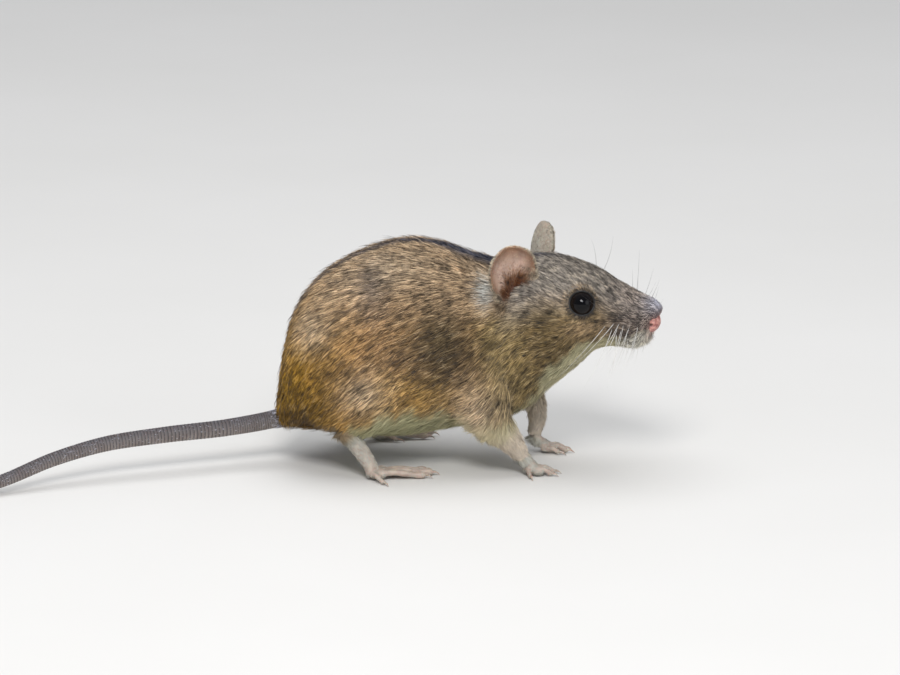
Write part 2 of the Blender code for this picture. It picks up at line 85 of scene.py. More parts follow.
RUMP_INSET = 1.2  # how far the skin's rear end lies in front of the solids'
RUMP_SECTIONS = (4.5, 0.5)  # the section numbers over which that inset comes in
SECTION_ROUNDNESS = 0.92  # 1 is an ellipse, less is squarer
HEAD_TURN = math.radians(-18.0)  # towards the mouse's right
TURN_FROM, TURN_TO, TURN_PIVOT = -1.0, 11.0, 5.0  # where along x the neck bends
EYE_CENTRE = np.array((20.75, 5.3, 29.9))
EYE_RADIUS = 2.0
SIDES = {"left": 1.0, "right": -1.0}


def ease(start, end, value):
    """0 before start, 1 after end, smooth between: 3t^2 - 2t^3 of the share t of the way."""
    share = np.clip((value - start) / (end - start), 0.0, 1.0)
    return share * share * (3.0 - 2.0 * share)


def between(start, full, fading, end, value):
    """0 outside start and end, 1 from full to fading, smooth on both slopes."""
    return ease(start, full, value) * ease(end, fading, value)


def turn_head(points):
    """Turns the head about the vertical, by an angle that eases in along the neck."""
    angle = HEAD_TURN * ease(TURN_FROM, TURN_TO, points[..., 0])
    x, y = points[..., 0] - TURN_PIVOT, points[..., 1]
    turned = np.array(points, float)
    turned[..., 0] = TURN_PIVOT + x * np.cos(angle) - y * np.sin(angle)
    turned[..., 1] = x * np.sin(angle) + y * np.cos(angle)
    return turned


def head_straight(points):
    """Undoes turn_head: the x that sets the angle is found by putting each guess back in."""
    x, y = points[..., 0] - TURN_PIVOT, points[..., 1]
    guess = points[..., 0]
    for _ in range(6):
        angle = HEAD_TURN * ease(TURN_FROM, TURN_TO, guess)
        guess = TURN_PIVOT + x * np.cos(angle) + y * np.sin(angle)
    straight = np.array(points, float)
    straight[..., 0] = guess
    straight[..., 1] = y * np.cos(angle) - x * np.sin(angle)
    return straight


eye_low, eye_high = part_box("eye_right")
eye_middle = (np.array(eye_low) + np.array(eye_high)) / 2.0 / MM
ORIGIN = turn_head(EYE_CENTRE * (1.0, SIDES["right"], 1.0)) - eye_middle
print("origin of the solids' frame in the mouse's own, mm:", ORIGIN.round(3))

# %% [markdown]
# ## Shells
#
# Every fleshy part starts as a shell: rings of points along a path, each end closed by a fan. A
# smooth curve through the rows of a table gives as many rings as the surface needs. The parts could
# be modelled by eye, but a table can be measured against the animal and corrected row by row.

# %% A curve through the rows of a table


def smooth_rows(table, rows):
    """A cubic curve through a table's rows, read at fractional row numbers.

    Each row's slope is that of the parabola through it and its neighbours, spaced by the distance
    between their first three values.
    """
    table = np.asarray(table, float)
    steps = np.linalg.norm(np.diff(table[:, :3], axis=0), axis=1)
    knots = np.concatenate([[0.0], np.cumsum(steps)])
    slopes = np.gradient(table, knots, axis=0)
    rows = np.clip(np.asarray(rows, float), 0.0, len(table) - 1.0)
    first = np.minimum(rows.astype(int), len(table) - 2)
    part = (rows - first)[:, None]
    width = steps[first][:, None]
    return (
        table[first] * (2 * part**3 - 3 * part**2 + 1)
        + slopes[first] * width * (part**3 - 2 * part**2 + part)
        + table[first + 1] * (3 * part**2 - 2 * part**3)
        + slopes[first + 1] * width * (part**3 - part**2)
    )


print("halfway from the loin to the crest:", smooth_rows(SECTIONS, [5.5])[0, :5].round(1))

# %% Directions and turns


def unit(vectors):
    """Vectors of length 1 in the same directions."""
    return vectors / np.maximum(np.linalg.norm(vectors, axis=-1, keepdims=True), 1e-12)


def circle(sides):
    """Angles evenly round a full turn, without the last, which is the first again."""
    return np.linspace(0.0, 2.0 * math.pi, sides, endpoint=False)


def spin_about(axis, angle):
    """A 3 by 3 rotation about x, y or z."""
    c, s = math.cos(angle), math.sin(angle)
    return np.array({
        "X": ((1, 0, 0), (0, c, -s), (0, s, c)),
        "Y": ((c, 0, s), (0, 1, 0), (-s, 0, c)),
        "Z": ((c, -s, 0), (s, c, 0), (0, 0, 1)),
    }[axis], float)


# %% Rings closed to shells


def ring_faces(count, sides):
    """Triangles between neighbouring rings, then fans to the two end points that follow them."""
    ring, side = np.meshgrid(np.arange(count - 1), np.arange(sides), indexing="ij")
    a = (ring * sides + side).ravel()
    b = (ring * sides + (side + 1) % sides).ravel()
    edge = np.arange(sides)
    after = (edge + 1) % sides
    last = (count - 1) * sides
    return np.concatenate([
        np.column_stack([a, b, b + sides]),
        np.column_stack([a, b + sides, a + sides]),
        np.column_stack([after, edge, np.full(sides, count * sides)]),
        np.column_stack([last + edge, last + after, np.full(sides, count * sides + 1)]),
    ])


def shell(rings):
    """Points and outward triangles of a closed shell over rings of points."""
    count, sides = rings.shape[:2]
    ends = np.stack([rings[0].mean(axis=0), rings[-1].mean(axis=0)])
    points = np.concatenate([rings.reshape(-1, 3), ends])
    faces = ring_faces(count, sides)
    corners = points[faces] - points.mean(axis=0)
    volume = np.einsum("ij,ij->i", corners[:, 0], np.cross(corners[:, 1], corners[:, 2])).sum()
    return points, faces if volume > 0.0 else faces[:, ::-1]


def together(shells):
    """Several shells as one list of points and one of triangles."""
    starts = np.cumsum([0] + [len(points) for points, _ in shells[:-1]])
    points = np.concatenate([points for points, _ in shells])
    faces = np.concatenate([faces + start for (_, faces), start in zip(shells, starts)])
    return points, faces


# %% Rings of the body and of limbs


def body_rings(start, end, rings, sides):
    """Rings round the body between two section numbers, inside the solids by the coat's depth."""
    numbers = np.linspace(start, end, rings)
    top_x, top_z, low_x, low_z, width, waist, depth = smooth_rows(SECTIONS, numbers).T[:, :, None]
    across, up = (np.sign(wave) * np.abs(wave) ** SECTION_ROUNDNESS
                  for wave in (np.cos(circle(sides)), np.sin(circle(sides))))
    height = np.hypot(top_x - low_x, top_z - low_z)
    share = waist + np.where(up > 0.0, 1.0 - waist, waist) * up - depth / height * up
    x = low_x + (top_x - low_x) * share + RUMP_INSET * ease(*RUMP_SECTIONS, numbers)[:, None]
    y = (width - depth) * across
    z = low_z + (top_z - low_z) * share
    return turn_head(np.stack([x, y + 0.0 * x, z], axis=-1))


def limb_rings(stations, sides, rings, inset=0.0):
    """Rings of oval section along a limb; half width is sideways, half depth square to it."""
    rows = smooth_rows(stations, np.linspace(0.0, len(stations) - 1.0, rings))
    centre, half_width, half_depth = rows[:, :3], rows[:, 3] - inset, rows[:, 4] - inset
    run = unit(np.gradient(centre, axis=0))
    across = unit(np.cross(run, np.array((0.0, 1.0, 0.0))))
    side = np.cross(across, run)
    angle = circle(sides)[:, None]
    return (
        centre[:, None]
        + side[:, None] * (np.cos(angle) * half_width[:, None, None])
        + across[:, None] * (np.sin(angle) * half_depth[:, None, None])
    )


def round_rings(centre, radius, sides):
    """Rings of a round tube along a line of points."""
    rows = np.column_stack([centre, radius, radius])
    return limb_rings(rows, sides, len(rows))


print("rings of the body, points on each, axes:", body_rings(0.0, 19.0, 110, 96).shape)

# %% [markdown]
# ## Legs, feet and toes
#
# A crouching mouse shows little more of its legs than wrists, shanks and feet. A row of stations,
# each with a centre and two half widths, makes a leg as the sections make the trunk, and a toe
# needs only its root, its tip and its thickness. An armature could pose a neutral mouse, but this
# one never moves, so its legs are laid straight into the pose.

# %% Measures of haunches, legs, feet and toes
HAUNCH_CENTRE = np.array((-19.4, 8.8, 18.4))
HAUNCH_RADII = np.array((11.2, 6.0, 11.6))
HAUNCH_LEAN, HAUNCH_SPLAY = math.radians(-14.0), math.radians(9.0)
FORELEGS = {
    # x, y, z, half width, half depth, from the shoulder to the wrist
    "right": (
        (1.4, -8.0, 19.0, 3.0, 5.0), (1.8, -8.7, 14.0, 3.6, 5.2), (3.7, -8.9, 9.8, 3.0, 3.4),
        (5.8, -8.5, 7.2, 2.2, 2.35), (7.3, -8.0, 5.2, 1.7, 1.85), (8.3, -7.7, 3.8, 1.45, 1.55),
    ),
    "left": (
        (3.0, 7.6, 20.0, 3.0, 4.6), (5.2, 7.9, 15.5, 3.2, 4.2), (8.6, 7.4, 11.6, 2.4, 2.8),
        (10.9, 6.9, 8.6, 1.7, 1.9), (11.4, 6.6, 5.9, 1.4, 1.55), (11.0, 6.5, 3.6, 1.2, 1.25),
    ),
}
FOREPAWS = {
    "right": (
        (8.5, -7.7, 3.5, 1.4, 1.35), (9.2, -7.7, 2.6, 1.55, 1.2), (10.2, -7.7, 1.75, 1.75, 1.05),
        (11.1, -7.7, 0.95, 1.75, 1.05), (12.0, -7.7, 0.80, 1.5, 0.9),
    ),
    "left": (
        (10.9, 6.5, 3.2, 1.15, 1.15), (11.4, 6.5, 2.3, 1.4, 1.1), (12.4, 6.6, 1.6, 1.6, 1.0),
        (13.3, 6.7, 0.95, 1.65, 1.05), (14.2, 6.7, 0.80, 1.4, 0.9),
    ),
}
HINDFEET = {
    "right": (
        (-20.9, -9.8, 8.8, 1.7, 1.7), (-19.7, -9.9, 7.2, 1.7, 1.7), (-18.2, -10.0, 5.0, 1.6, 1.5),
        (-16.8, -10.1, 2.9, 1.6, 1.35), (-15.7, -10.1, 1.15, 1.8, 1.2),
        (-14.4, -9.9, 0.95, 1.7, 1.0),
    ),
    "left": (
        (-22.1, 12.4, 8.8, 1.7, 1.7), (-20.8, 12.7, 7.2, 1.7, 1.7), (-18.9, 13.5, 5.0, 1.6, 1.5),
        (-17.0, 14.3, 2.9, 1.6, 1.35), (-15.5, 14.9, 1.15, 1.8, 1.2),
        (-14.2, 15.4, 0.95, 1.7, 1.0),
    ),
}
TOES = {
    # foot: root x, y, z, then tip x, y, then the radius at the root, inner toe first
    "forepaw_right": (
        ((10.6, -6.3, 1.0), (13.6, -5.5), 0.60), ((11.3, -7.2, 1.1), (14.9, -7.0), 0.66),
        ((11.2, -8.1, 1.1), (14.4, -8.8), 0.66), ((9.4, -8.5, 1.2), (10.3, -11.2), 0.58),
    ),
    "forepaw_left": (
        ((13.0, 5.4, 1.0), (16.0, 4.5), 0.60), ((13.7, 6.2, 1.1), (17.4, 6.0), 0.66),
        ((13.6, 7.2, 1.1), (17.0, 7.9), 0.66), ((12.2, 7.8, 1.1), (14.3, 9.9), 0.58),
    ),
    "hindfoot_right": (
        ((-15.6, -8.7, 1.3), (-12.0, -6.3), 0.62), ((-14.8, -9.0, 1.1), (-6.3, -5.9), 0.74),
        ((-14.6, -9.9, 1.1), (-5.3, -7.9), 0.76), ((-14.9, -10.8, 1.1), (-6.5, -9.9), 0.74),
        ((-16.4, -11.3, 1.2), (-13.6, -14.8), 0.64),
    ),
    "hindfoot_left": (
        ((-15.2, 14.0, 1.3), (-11.3, 12.8), 0.62), ((-14.4, 14.6, 1.1), (-6.2, 15.1), 0.74),
        ((-14.3, 15.4, 1.1), (-5.4, 17.2), 0.76), ((-14.8, 16.2, 1.1), (-6.9, 19.1), 0.74),
        ((-16.3, 16.5, 1.2), (-12.6, 20.0), 0.64),
    ),
}
print("toes:", sum(len(toes) for toes in TOES.values()))

# %% Haunches and toes
CLAW_LENGTH = 1.0
FOOT_INSET = 0.12  # depth of the short hair on the feet
TOE_TIP_HEIGHT = 0.07
TOE_SIZES = np.array((1.0, 0.95, 0.86, 0.92, 0.76, 0.90, 0.52))  # foot, root, bone, knuckle, bone, pad, end


def haunch_rings(side, inset):
    """An ellipsoid, leaning in its own side view and splayed seen from above."""
    polar = np.linspace(0.02, math.pi - 0.02, 30)[:, None]
    around = circle(40)
    ball = np.stack([np.sin(polar) * np.cos(around), np.sin(polar) * np.sin(around),
                     np.cos(polar) + 0.0 * around], axis=-1) * (HAUNCH_RADII - inset)
    turn = spin_about("Z", side * HAUNCH_SPLAY) @ spin_about("Y", HAUNCH_LEAN)
    return HAUNCH_CENTRE * (1.0, side, 1.0) + ball @ turn.T


def toe_line(root, tip, radius, rings=16):
    """Centre line and radius of a toe up to its claw: two joints, a knuckle, and a pad at the end."""
    root = np.array(root)
    reach = np.array((*tip, TOE_TIP_HEIGHT)) - root
    length = np.linalg.norm(reach)
    claw = CLAW_LENGTH / length
    share = np.array((-1.0 / length, 0.05, 0.30, 0.48, 0.66, 1.0 - 1.35 * claw, 1.0 - 0.75 * claw))
    centre = root + reach * share[:, None]
    centre[:, 2] = (root[2], root[2], root[2] * 0.85 + 0.30, 0.95 * radius + 0.30,
                    0.72 * radius + 0.22, 0.86 * radius, 0.75 * radius)
    table = np.column_stack([centre, radius * TOE_SIZES - FOOT_INSET])
    rows = smooth_rows(table, np.linspace(0.0, len(table) - 1.0, rings))
    return rows[:, :3], rows[:, 3]


# %% [markdown]
# ## Ears
#
# A mouse's ear is a thin cupped leaf with a rolled rim. The leaf is a grid: one way from root to
# tip, the other across the cup. Its two faces lie half the thickness to each side of that grid. A
# flat sheet bent by modifiers could serve, but cup, curl and ridge are easier to set by a formula.

# %% The leaf of an ear
EAR_LENGTH, EAR_HALF_WIDTH, EAR_WIDEST, EAR_ROOT_NARROWING = 10.5, 4.0, 0.60, 0.5
EAR_CUP, EAR_TIP_CURL, EAR_ROLL = 2.1, 0.9, math.radians(83.0)
EAR_FOOT_ANGLE, EAR_TIP_ANGLE = -0.05, math.radians(83.0)  # rises are the sines of angles between these
EAR_THICKNESS, EAR_RIDGE = 0.46, 0.35
EAR_ROOT = np.array((9.5, 6.4, 29.7))
EAR_FACING = {"right": math.radians(40.0), "left": math.radians(54.0)}
EAR_BACK_LEAN, EAR_SPREAD = math.radians(4.0), math.radians(17.0)


def ear_place(word):
    """The rotation, mirrored on the left, and the root that put a leaf on the turned head."""
    side = SIDES[word]
    turn = (
        spin_about("Z", HEAD_TURN) @ spin_about("X", -EAR_SPREAD * side)
        @ spin_about("Y", -EAR_BACK_LEAN) @ spin_about("Z", -side * EAR_FACING[word])
        @ np.diag((1.0, side, 1.0))
    )
    return turn, turn_head(EAR_ROOT * (1.0, side, 1.0))


def ear_leaf(rise, across):
    """The leaf's surface: an ellipse above its widest place, narrower to the root, cupped across.

    A low ridge runs up the cup from the root and fades out halfway.
    """
    above = np.clip((rise - EAR_WIDEST) / (1.0 - EAR_WIDEST), 0.0, 1.0)
    below = np.clip((EAR_WIDEST - rise) / EAR_WIDEST, 0.0, 1.0)
    half = EAR_HALF_WIDTH * (np.sqrt(1.0 - above**2) - EAR_ROOT_NARROWING * below**2)
    depth = EAR_CUP * (half / EAR_HALF_WIDTH) * (across**2 - 0.4) + EAR_TIP_CURL * rise**2
    ridge = EAR_RIDGE * np.exp(-(((across + 0.35 - 0.3 * rise) / 0.16) ** 2)) * ease(0.75, 0.2, rise)
    return np.stack([half * np.sin(across * EAR_ROLL), depth + ridge, EAR_LENGTH * rise], axis=-1)


def ear_rings(word):
    """Rings round the leaf's two faces, one for each height between root and tip."""
    rise, across = np.meshgrid(np.sin(np.linspace(EAR_FOOT_ANGLE, EAR_TIP_ANGLE, 44)),
                               np.linspace(-1.0, 1.0, 40), indexing="ij")
    leaf = ear_leaf(rise, across)
    up = np.gradient(leaf, axis=0)
    over = np.gradient(leaf, axis=1)
    square = unit(np.cross(over, up)) * EAR_THICKNESS / 2.0
    rings = np.concatenate([leaf + square, (leaf - square)[:, ::-1]], axis=1)
    turn, root = ear_place(word)
    return rings @ turn.T + root


# %% [markdown]
# ## One skin
#
# Body, haunches and upper legs are laid over one another, remeshed to a single surface and relaxed
# until they flow together. Ears, eyelids, feet and toes are then added on a finer grid. The shells
# could be joined by sculpting, but a remesh gives the same seamless surface each time. The result is
# one closed skin that stands for every fleshy solid.

# %% Remeshing and relaxing


def raw_mesh(name, points, faces):
    """A Blender mesh straight from arrays: triangles or quads, all of one kind."""
    mesh = bpy.data.meshes.new(name)
    corners = faces.shape[1]
    mesh.vertices.add(len(points))
    mesh.vertices.foreach_set("co", np.ascontiguousarray(points, np.float32).ravel())
    mesh.loops.add(faces.size)
    mesh.loops.foreach_set("vertex_index", np.ascontiguousarray(faces, np.int32).ravel())
    mesh.polygons.add(len(faces))
    mesh.polygons.foreach_set("loop_start", np.arange(len(faces), dtype=np.int32) * corners)
    mesh.update(calc_edges=True)
    return mesh


def arrays_of(mesh):
    """Points and faces of a mesh whose faces all have as many corners."""
    points = np.empty(len(mesh.vertices) * 3, np.float32)
    mesh.vertices.foreach_get("co", points)
    faces = np.empty(len(mesh.loops), np.int32)
    mesh.loops.foreach_get("vertex_index", faces)
    return points.reshape(-1, 3).astype(float), faces.reshape(len(mesh.polygons), -1)


def through_modifier(points, faces, kind, **values):
    """The arrays of a mesh after one modifier."""
    item = bpy.data.objects.new("working", raw_mesh("working", points, faces))
    bpy.context.scene.collection.objects.link(item)
    step = item.modifiers.new("step", kind)
    for key, value in values.items():
        setattr(step, key, value)
    graph = bpy.context.evaluated_depsgraph_get()
    result = bpy.data.meshes.new_from_object(item.evaluated_get(graph))
    made = arrays_of(result)
    old = item.data
    bpy.data.objects.remove(item)
    bpy.data.meshes.remove(old)
    bpy.data.meshes.remove(result)
    return made


def edges_of(faces):
    """Each edge once, as pairs of point numbers."""
    pairs = np.stack([faces, np.roll(faces, -1, axis=1)], axis=-1).reshape(-1, 2)
    return np.unique(np.sort(pairs, axis=1), axis=0)


def relax(points, faces, rounds, share):
    """Moves every point part of the way to the mean of its neighbours, again and again."""
    a, b = edges_of(faces).T
    count = len(points)
    ends, others = np.concatenate([a, b]), np.concatenate([b, a])
    number = np.bincount(ends, minlength=count)[:, None]
    share = np.broadcast_to(share, (count,))[:, None]
    for _ in range(rounds):
        near = np.column_stack([
            np.bincount(ends, weights=points[others, axis], minlength=count) for axis in range(3)])
        points = points + share * (near / number - points)
    return points


def normals_of(points, faces):
    """Unit normals at the points, each the sum of its faces' area vectors."""
    corners = points[faces]
    area = np.cross(corners[:, 1] - corners[:, 0], corners[:, -1] - corners[:, 0])
    total = np.column_stack([
        sum(np.bincount(faces[:, k], weights=area[:, axis], minlength=len(points))
            for k in range(faces.shape[1])) for axis in range(3)])
    return unit(total)


# %% The trunk
TRUNK_GRID = 0.7  # the remesh's step
TRUNK_INSET, HAUNCH_INSET, WRIST_INSET, HOCK_INSET = 0.7, 0.8, 0.2, 0.15  # depth of the coat on the limbs


def remeshed(shells, step):
    """One surface of quads round shells that overlap."""
    return through_modifier(*together(shells), "REMESH", mode="VOXEL", voxel_size=step)


def halved(faces):
    """Two triangles for each quad."""
    return np.concatenate([faces[:, [0, 1, 2]], faces[:, [0, 2, 3]]])


def trunk_shell():
    """Trunk, haunches and upper forelegs, relaxed until they flow together, then subdivided once."""
    parts = [shell(body_rings(0.0, 12.0, 70, 64))]
    for word, side in SIDES.items():
        parts.append(shell(haunch_rings(side, HAUNCH_INSET)))
        parts.append(shell(limb_rings(FORELEGS[word][:4], 28, 24, TRUNK_INSET)))
    points, faces = remeshed(parts, TRUNK_GRID)
    points = relax(points, faces, 14, 0.5)
    points, faces = through_modifier(points, faces, "SUBSURF", levels=1, render_levels=1)
    return points, halved(faces)


trunk = trunk_shell()
print("trunk:", len(trunk[0]), "points")

# %% [markdown]
# ## Legs and eyelids
#
# The coat thins down a leg, so a leg's shell lies deep inside the solids at the top and just under
# them at the foot. A mouse's lids are a narrow dark rim that the eyeball bulges out of. A slit
# could be cut and pushed open for them, but a thin tube lies evenly on the ball all round.

# %% Legs and eyelids
LID_ANGLE, LID_RADIUS = math.radians(76.0), 0.27
LID_LIFT = 0.08  # the rim's middle line over the eyeball
LID_CORNERS = math.radians(7.0)  # how far the rim is drawn out at front and back
LID_OVERLAP = 1.02  # the tube runs a little past a full turn, so that its ends are inside one another
EYE_AXIS = unit(np.array((0.30, 0.93, 0.22)))


def leg_rings(stations, top, low):
    """A leg whose inset goes evenly from the coat's depth at the top to a bare foot's."""
    table = np.array(stations)
    table[:, 3:] -= np.linspace(top, low, len(table))[:, None]
    return limb_rings(table, 28, 40)


def eyelid_rings(side):
    """The rim of the lids: a thin tube round the eyeball, drawn out a little at front and back."""
    across = unit(np.cross(EYE_AXIS, (0.0, 0.0, 1.0)))
    up = np.cross(across, EYE_AXIS)
    turn = np.linspace(0.0, 2.0 * LID_OVERLAP * math.pi, 60)
    drawn = LID_ANGLE + LID_CORNERS * np.abs(np.cos(turn)) ** 3
    out = (EYE_AXIS * np.cos(drawn)[:, None]
           + np.sin(drawn)[:, None] * (across * np.cos(turn)[:, None] + up * np.sin(turn)[:, None]))
    centre = (EYE_CENTRE + out * (EYE_RADIUS + LID_LIFT)) * (1.0, side, 1.0)
    along = unit(np.gradient(centre, axis=0))
    outward = unit(out * (1.0, side, 1.0))
    over = np.cross(along, outward)
    ring = circle(12)[:, None]
    tube = LID_RADIUS * (np.cos(ring) * outward[:, None] + np.sin(ring) * over[:, None])
    return turn_head(centre[:, None] + tube)


# %% The fine skin
SKIN_GRID, SKIN_TRIANGLES = 0.2, 150000
FEET_TOP = 7.0  # height under which the skin is relaxed as gently as on the ears
EAR_MIDDLE = np.array((0.0, 0.0, 6.0))  # on the leaf, from its root


def skin_parts():
    """Every shell of the fine skin: trunk, head, legs, feet, ears, lids and toes."""
    parts = [trunk, shell(body_rings(9.0, 19.0, 110, 96))]
    for word, side in SIDES.items():
        parts.append(shell(leg_rings(FORELEGS[word], TRUNK_INSET, WRIST_INSET)))
        parts.append(shell(leg_rings(FOREPAWS[word], WRIST_INSET, FOOT_INSET)))
        parts.append(shell(leg_rings(HINDFEET[word], HOCK_INSET, FOOT_INSET)))
        parts.append(shell(ear_rings(word)))
        parts.append(shell(eyelid_rings(side)))
    for toes in TOES.values():
        parts += [shell(round_rings(*toe_line(*toe), 14)) for toe in toes]
    return parts


def relaxing_share(points):
    """How far a round of relaxing moves each point: little on feet and ears, most at the muzzle's tip."""
    forward = head_straight(points)[:, 0]
    fine = points[:, 2] < FEET_TOP
    for word in SIDES:
        turn, root = ear_place(word)
        fine |= np.linalg.norm(points - (root + turn @ EAR_MIDDLE), axis=1) < EAR_MIDDLE[2]
    face = 0.5 - 0.25 * ease(15.0, 22.0, forward) + 0.4 * ease(30.6, 31.6, forward)
    return np.where(fine, 0.22, face)


skin_points, skin_faces = remeshed(skin_parts(), SKIN_GRID)
skin_points = relax(skin_points, skin_faces, 5, relaxing_share(skin_points))
print("fine skin:", len(skin_points), "points,", len(skin_faces), "faces")

# %% [markdown]
# ## Folds of the face
#
# The face gets its forms by moving points along their normals: swollen whisker pads, brows, cheeks
# and a chin, and a groove for the mouth. Each move fades with the distance from a point or a line,
# as a sculptor's brush does, but it can be read here and changed by a number.

# %% Pads, lips and brows
MOUTH_LINE = np.array(((24.9, 3.7, 23.5), (26.2, 3.75, 23.75), (27.8, 3.45, 23.9), (29.4, 2.5, 24.0),
                       (30.7, 1.2, 24.35), (31.2, 0.0, 24.7)))
MOUTH_DEPTH, MOUTH_WIDTH = 0.55, 0.30
MUZZLE_START = 22.0  # x from which distances to the mouth are measured
FAR = 9.0  # stands for a distance too large to matter
FACE_FORMS = (
    # height, centre, reach along x, y and z
    (0.42, (28.6, 3.4, 26.0), (2.3, 2.0, 1.6)),  # whisker pad
    (0.25, (29.3, 1.2, 22.9), (2.0, 2.0, 1.0)),  # chin
    (0.35, (20.5, 4.6, 33.2), (2.6, 1.5, 1.2)),  # brow
    (-0.30, (24.8, 4.4, 29.6), (1.8, 2.0, 1.4)),  # hollow in front of the eye
    (0.50, (17.0, 7.0, 24.5), (4.0, 3.0, 3.5)),  # cheek
    (-0.30, (25.0, 0.0, 33.4), (3.0, 3.0, 1.6)),  # dip of the nose's bridge
    (-0.45, (32.0, 2.1, 26.3), (0.9, 0.9, 1.6)),  # side of the nose pad
    (0.25, (27.5, 2.6, 22.6), (2.4, 1.6, 1.0)),  # lower lip
)
LIP_CLEFT = (-0.30, (32.2, 0.0, 25.4), (1.0, 0.22, 1.2))


def distance_to_line(points, line):
    """Distance from each point to the nearest of the line's straight pieces."""
    start, step = line[:-1], np.diff(line, axis=0)
    away = points[:, None] - start
    share = np.clip((away * step).sum(-1) / (step**2).sum(-1), 0.0, 1.0)
    return np.linalg.norm(away - share[..., None] * step, axis=-1).min(axis=1)


def bump_at(points, centre, reach):
    """A smooth hill of height 1: e to the minus squared distance, each axis in units of its reach."""
    return np.exp(-((((points - centre) / reach) ** 2).sum(axis=-1)))


def mouth_gap(points):
    """Distance to the mouth's line for points folded to the left side; FAR behind the muzzle."""
    gap = np.full(len(points), FAR)
    front = points[:, 0] > MUZZLE_START
    gap[front] = distance_to_line(points[front], MOUTH_LINE)
    return gap


def face_forms(points, faces):
    """Moves points of the face along their normals; both sides alike."""
    folded = head_straight(points)
    folded[:, 1] = np.abs(folded[:, 1])
    rise = np.zeros(len(points))
    for height, centre, reach in FACE_FORMS:
        rise += height * bump_at(folded, centre, reach)
    rise -= MOUTH_DEPTH * np.exp(-((mouth_gap(folded) / MOUTH_WIDTH) ** 2))
    rise += LIP_CLEFT[0] * bump_at(folded, *LIP_CLEFT[1:])
    return points + normals_of(points, faces) * rise[:, None]


skin_points = face_forms(skin_points, skin_faces)
skin_points[:, 2] = np.maximum(skin_points[:, 2], 0.0)
skin_faces = halved(skin_faces)
skin_points, skin_faces = through_modifier(
    skin_points, skin_faces, "DECIMATE", ratio=SKIN_TRIANGLES / len(skin_faces))
skin_normals = normals_of(skin_points, skin_faces)
print("skin:", len(skin_points), "points,", len(skin_faces), "triangles")

# %% [markdown]
# ## Where a point lies on the mouse
#
# Colour, hair length and the lie of the coat all depend on the place on the body: how far along
# it, how high on its section, and how near to a limb, an ear or an eye. These measures are worked
# out once, at every point of the skin.

# %% Place on the sections
PLACE_STEP = 0.1  # section numbers are read in steps of a tenth


def section_place(straight):
    """Section number and height share of points on the untwisted body.

    A point belongs to the section whose line from bottom to top passes through it: the first one
    that has the point on its other side.
    """
    numbers = np.arange(0.0, len(SECTIONS) - 0.9, PLACE_STEP)
    top_x, top_z, low_x, low_z = smooth_rows(SECTIONS, numbers)[:, :4].T.astype(np.float32)
    x, z = straight[:, :1].astype(np.float32), straight[:, 2:].astype(np.float32)
    behind = (top_x - low_x) * (z - low_z) - (top_z - low_z) * (x - low_x)
    last = np.clip((behind < 0.0).sum(axis=1), 1, len(numbers) - 1)
    row = np.arange(len(straight))
    near, far = behind[row, last - 1], behind[row, last]
    share = np.clip(near / np.where(near == far, -1.0, near - far), 0.0, 1.0)
    number = (last - 1 + share) * PLACE_STEP
    top_x, top_z, low_x, low_z = smooth_rows(SECTIONS, number)[:, :4].T
    rise_x, rise_z = top_x - low_x, top_z - low_z
    climb = (straight[:, 0] - low_x) * rise_x + (straight[:, 2] - low_z) * rise_z
    return number, climb / (rise_x**2 + rise_z**2)


straight = head_straight(skin_points)
number, height = section_place(straight)
wide = np.abs(straight[:, 1])
folded = np.stack([straight[:, 0], wide, straight[:, 2]], axis=-1)  # both sides laid on the left one
from_eye = folded - EYE_CENTRE
eye_gap = np.linalg.norm(from_eye, axis=1)
gum = mouth_gap(folded)
print("section numbers:", number.min().round(1), "to", number.max().round(1))

# %% The nearest limb
LEG, FOOT, TOE = 0, 1, 2  # kinds of limb


def limb_lines():
    """Centre, radius, direction, share of the way, and kind of limb, at stations along every limb."""
    lines = []
    for word in SIDES:
        for table, kind in ((FORELEGS, LEG), (FOREPAWS, FOOT), (HINDFEET, FOOT)):
            rows = smooth_rows(table[word], np.linspace(0.0, len(table[word]) - 1.0, 16))
            lines.append((rows[:, :3], rows[:, 3:].mean(axis=1), kind))
    for toes in TOES.values():
        lines += [(*toe_line(*toe, rings=8), TOE) for toe in toes]
    return (
        np.concatenate([centre for centre, _, _ in lines]),
        np.concatenate([radius for _, radius, _ in lines]),
        np.concatenate([unit(np.gradient(centre, axis=0)) for centre, _, _ in lines]),
        np.concatenate([np.linspace(0.0, 1.0, len(centre)) for centre, _, _ in lines]),
        np.concatenate([np.full(len(centre), kind) for centre, _, kind in lines]),
    )


def nearest_limb(points):
    """The limb line nearest in units of its own radius: nearness, direction, share and kind."""
    centre, radius, run, share, kind = limb_lines()
    best = np.empty(len(points), int)
    ratio = np.empty(len(points))
    for part in np.array_split(np.arange(len(points)), 12):
        away = np.linalg.norm(points[part, None] - centre, axis=-1) / radius
        best[part] = away.argmin(axis=1)
        ratio[part] = away.min(axis=1)
    return ratio, run[best], share[best], kind[best]


limb_ratio, limb_run, limb_share, limb_kind = nearest_limb(skin_points)
leg = ease(1.75, 1.2, limb_ratio) * np.where(limb_kind == LEG, ease(0.25, 0.6, limb_share), 1.0)
foot = np.maximum(ease(1.9, 1.3, limb_ratio) * (limb_kind != LEG), ease(3.4, 2.4, skin_points[:, 2]))
print("points on legs:", int((leg > 0.5).sum()), "of them on feet:", int((foot > 0.5).sum()))

# %% Place on an ear


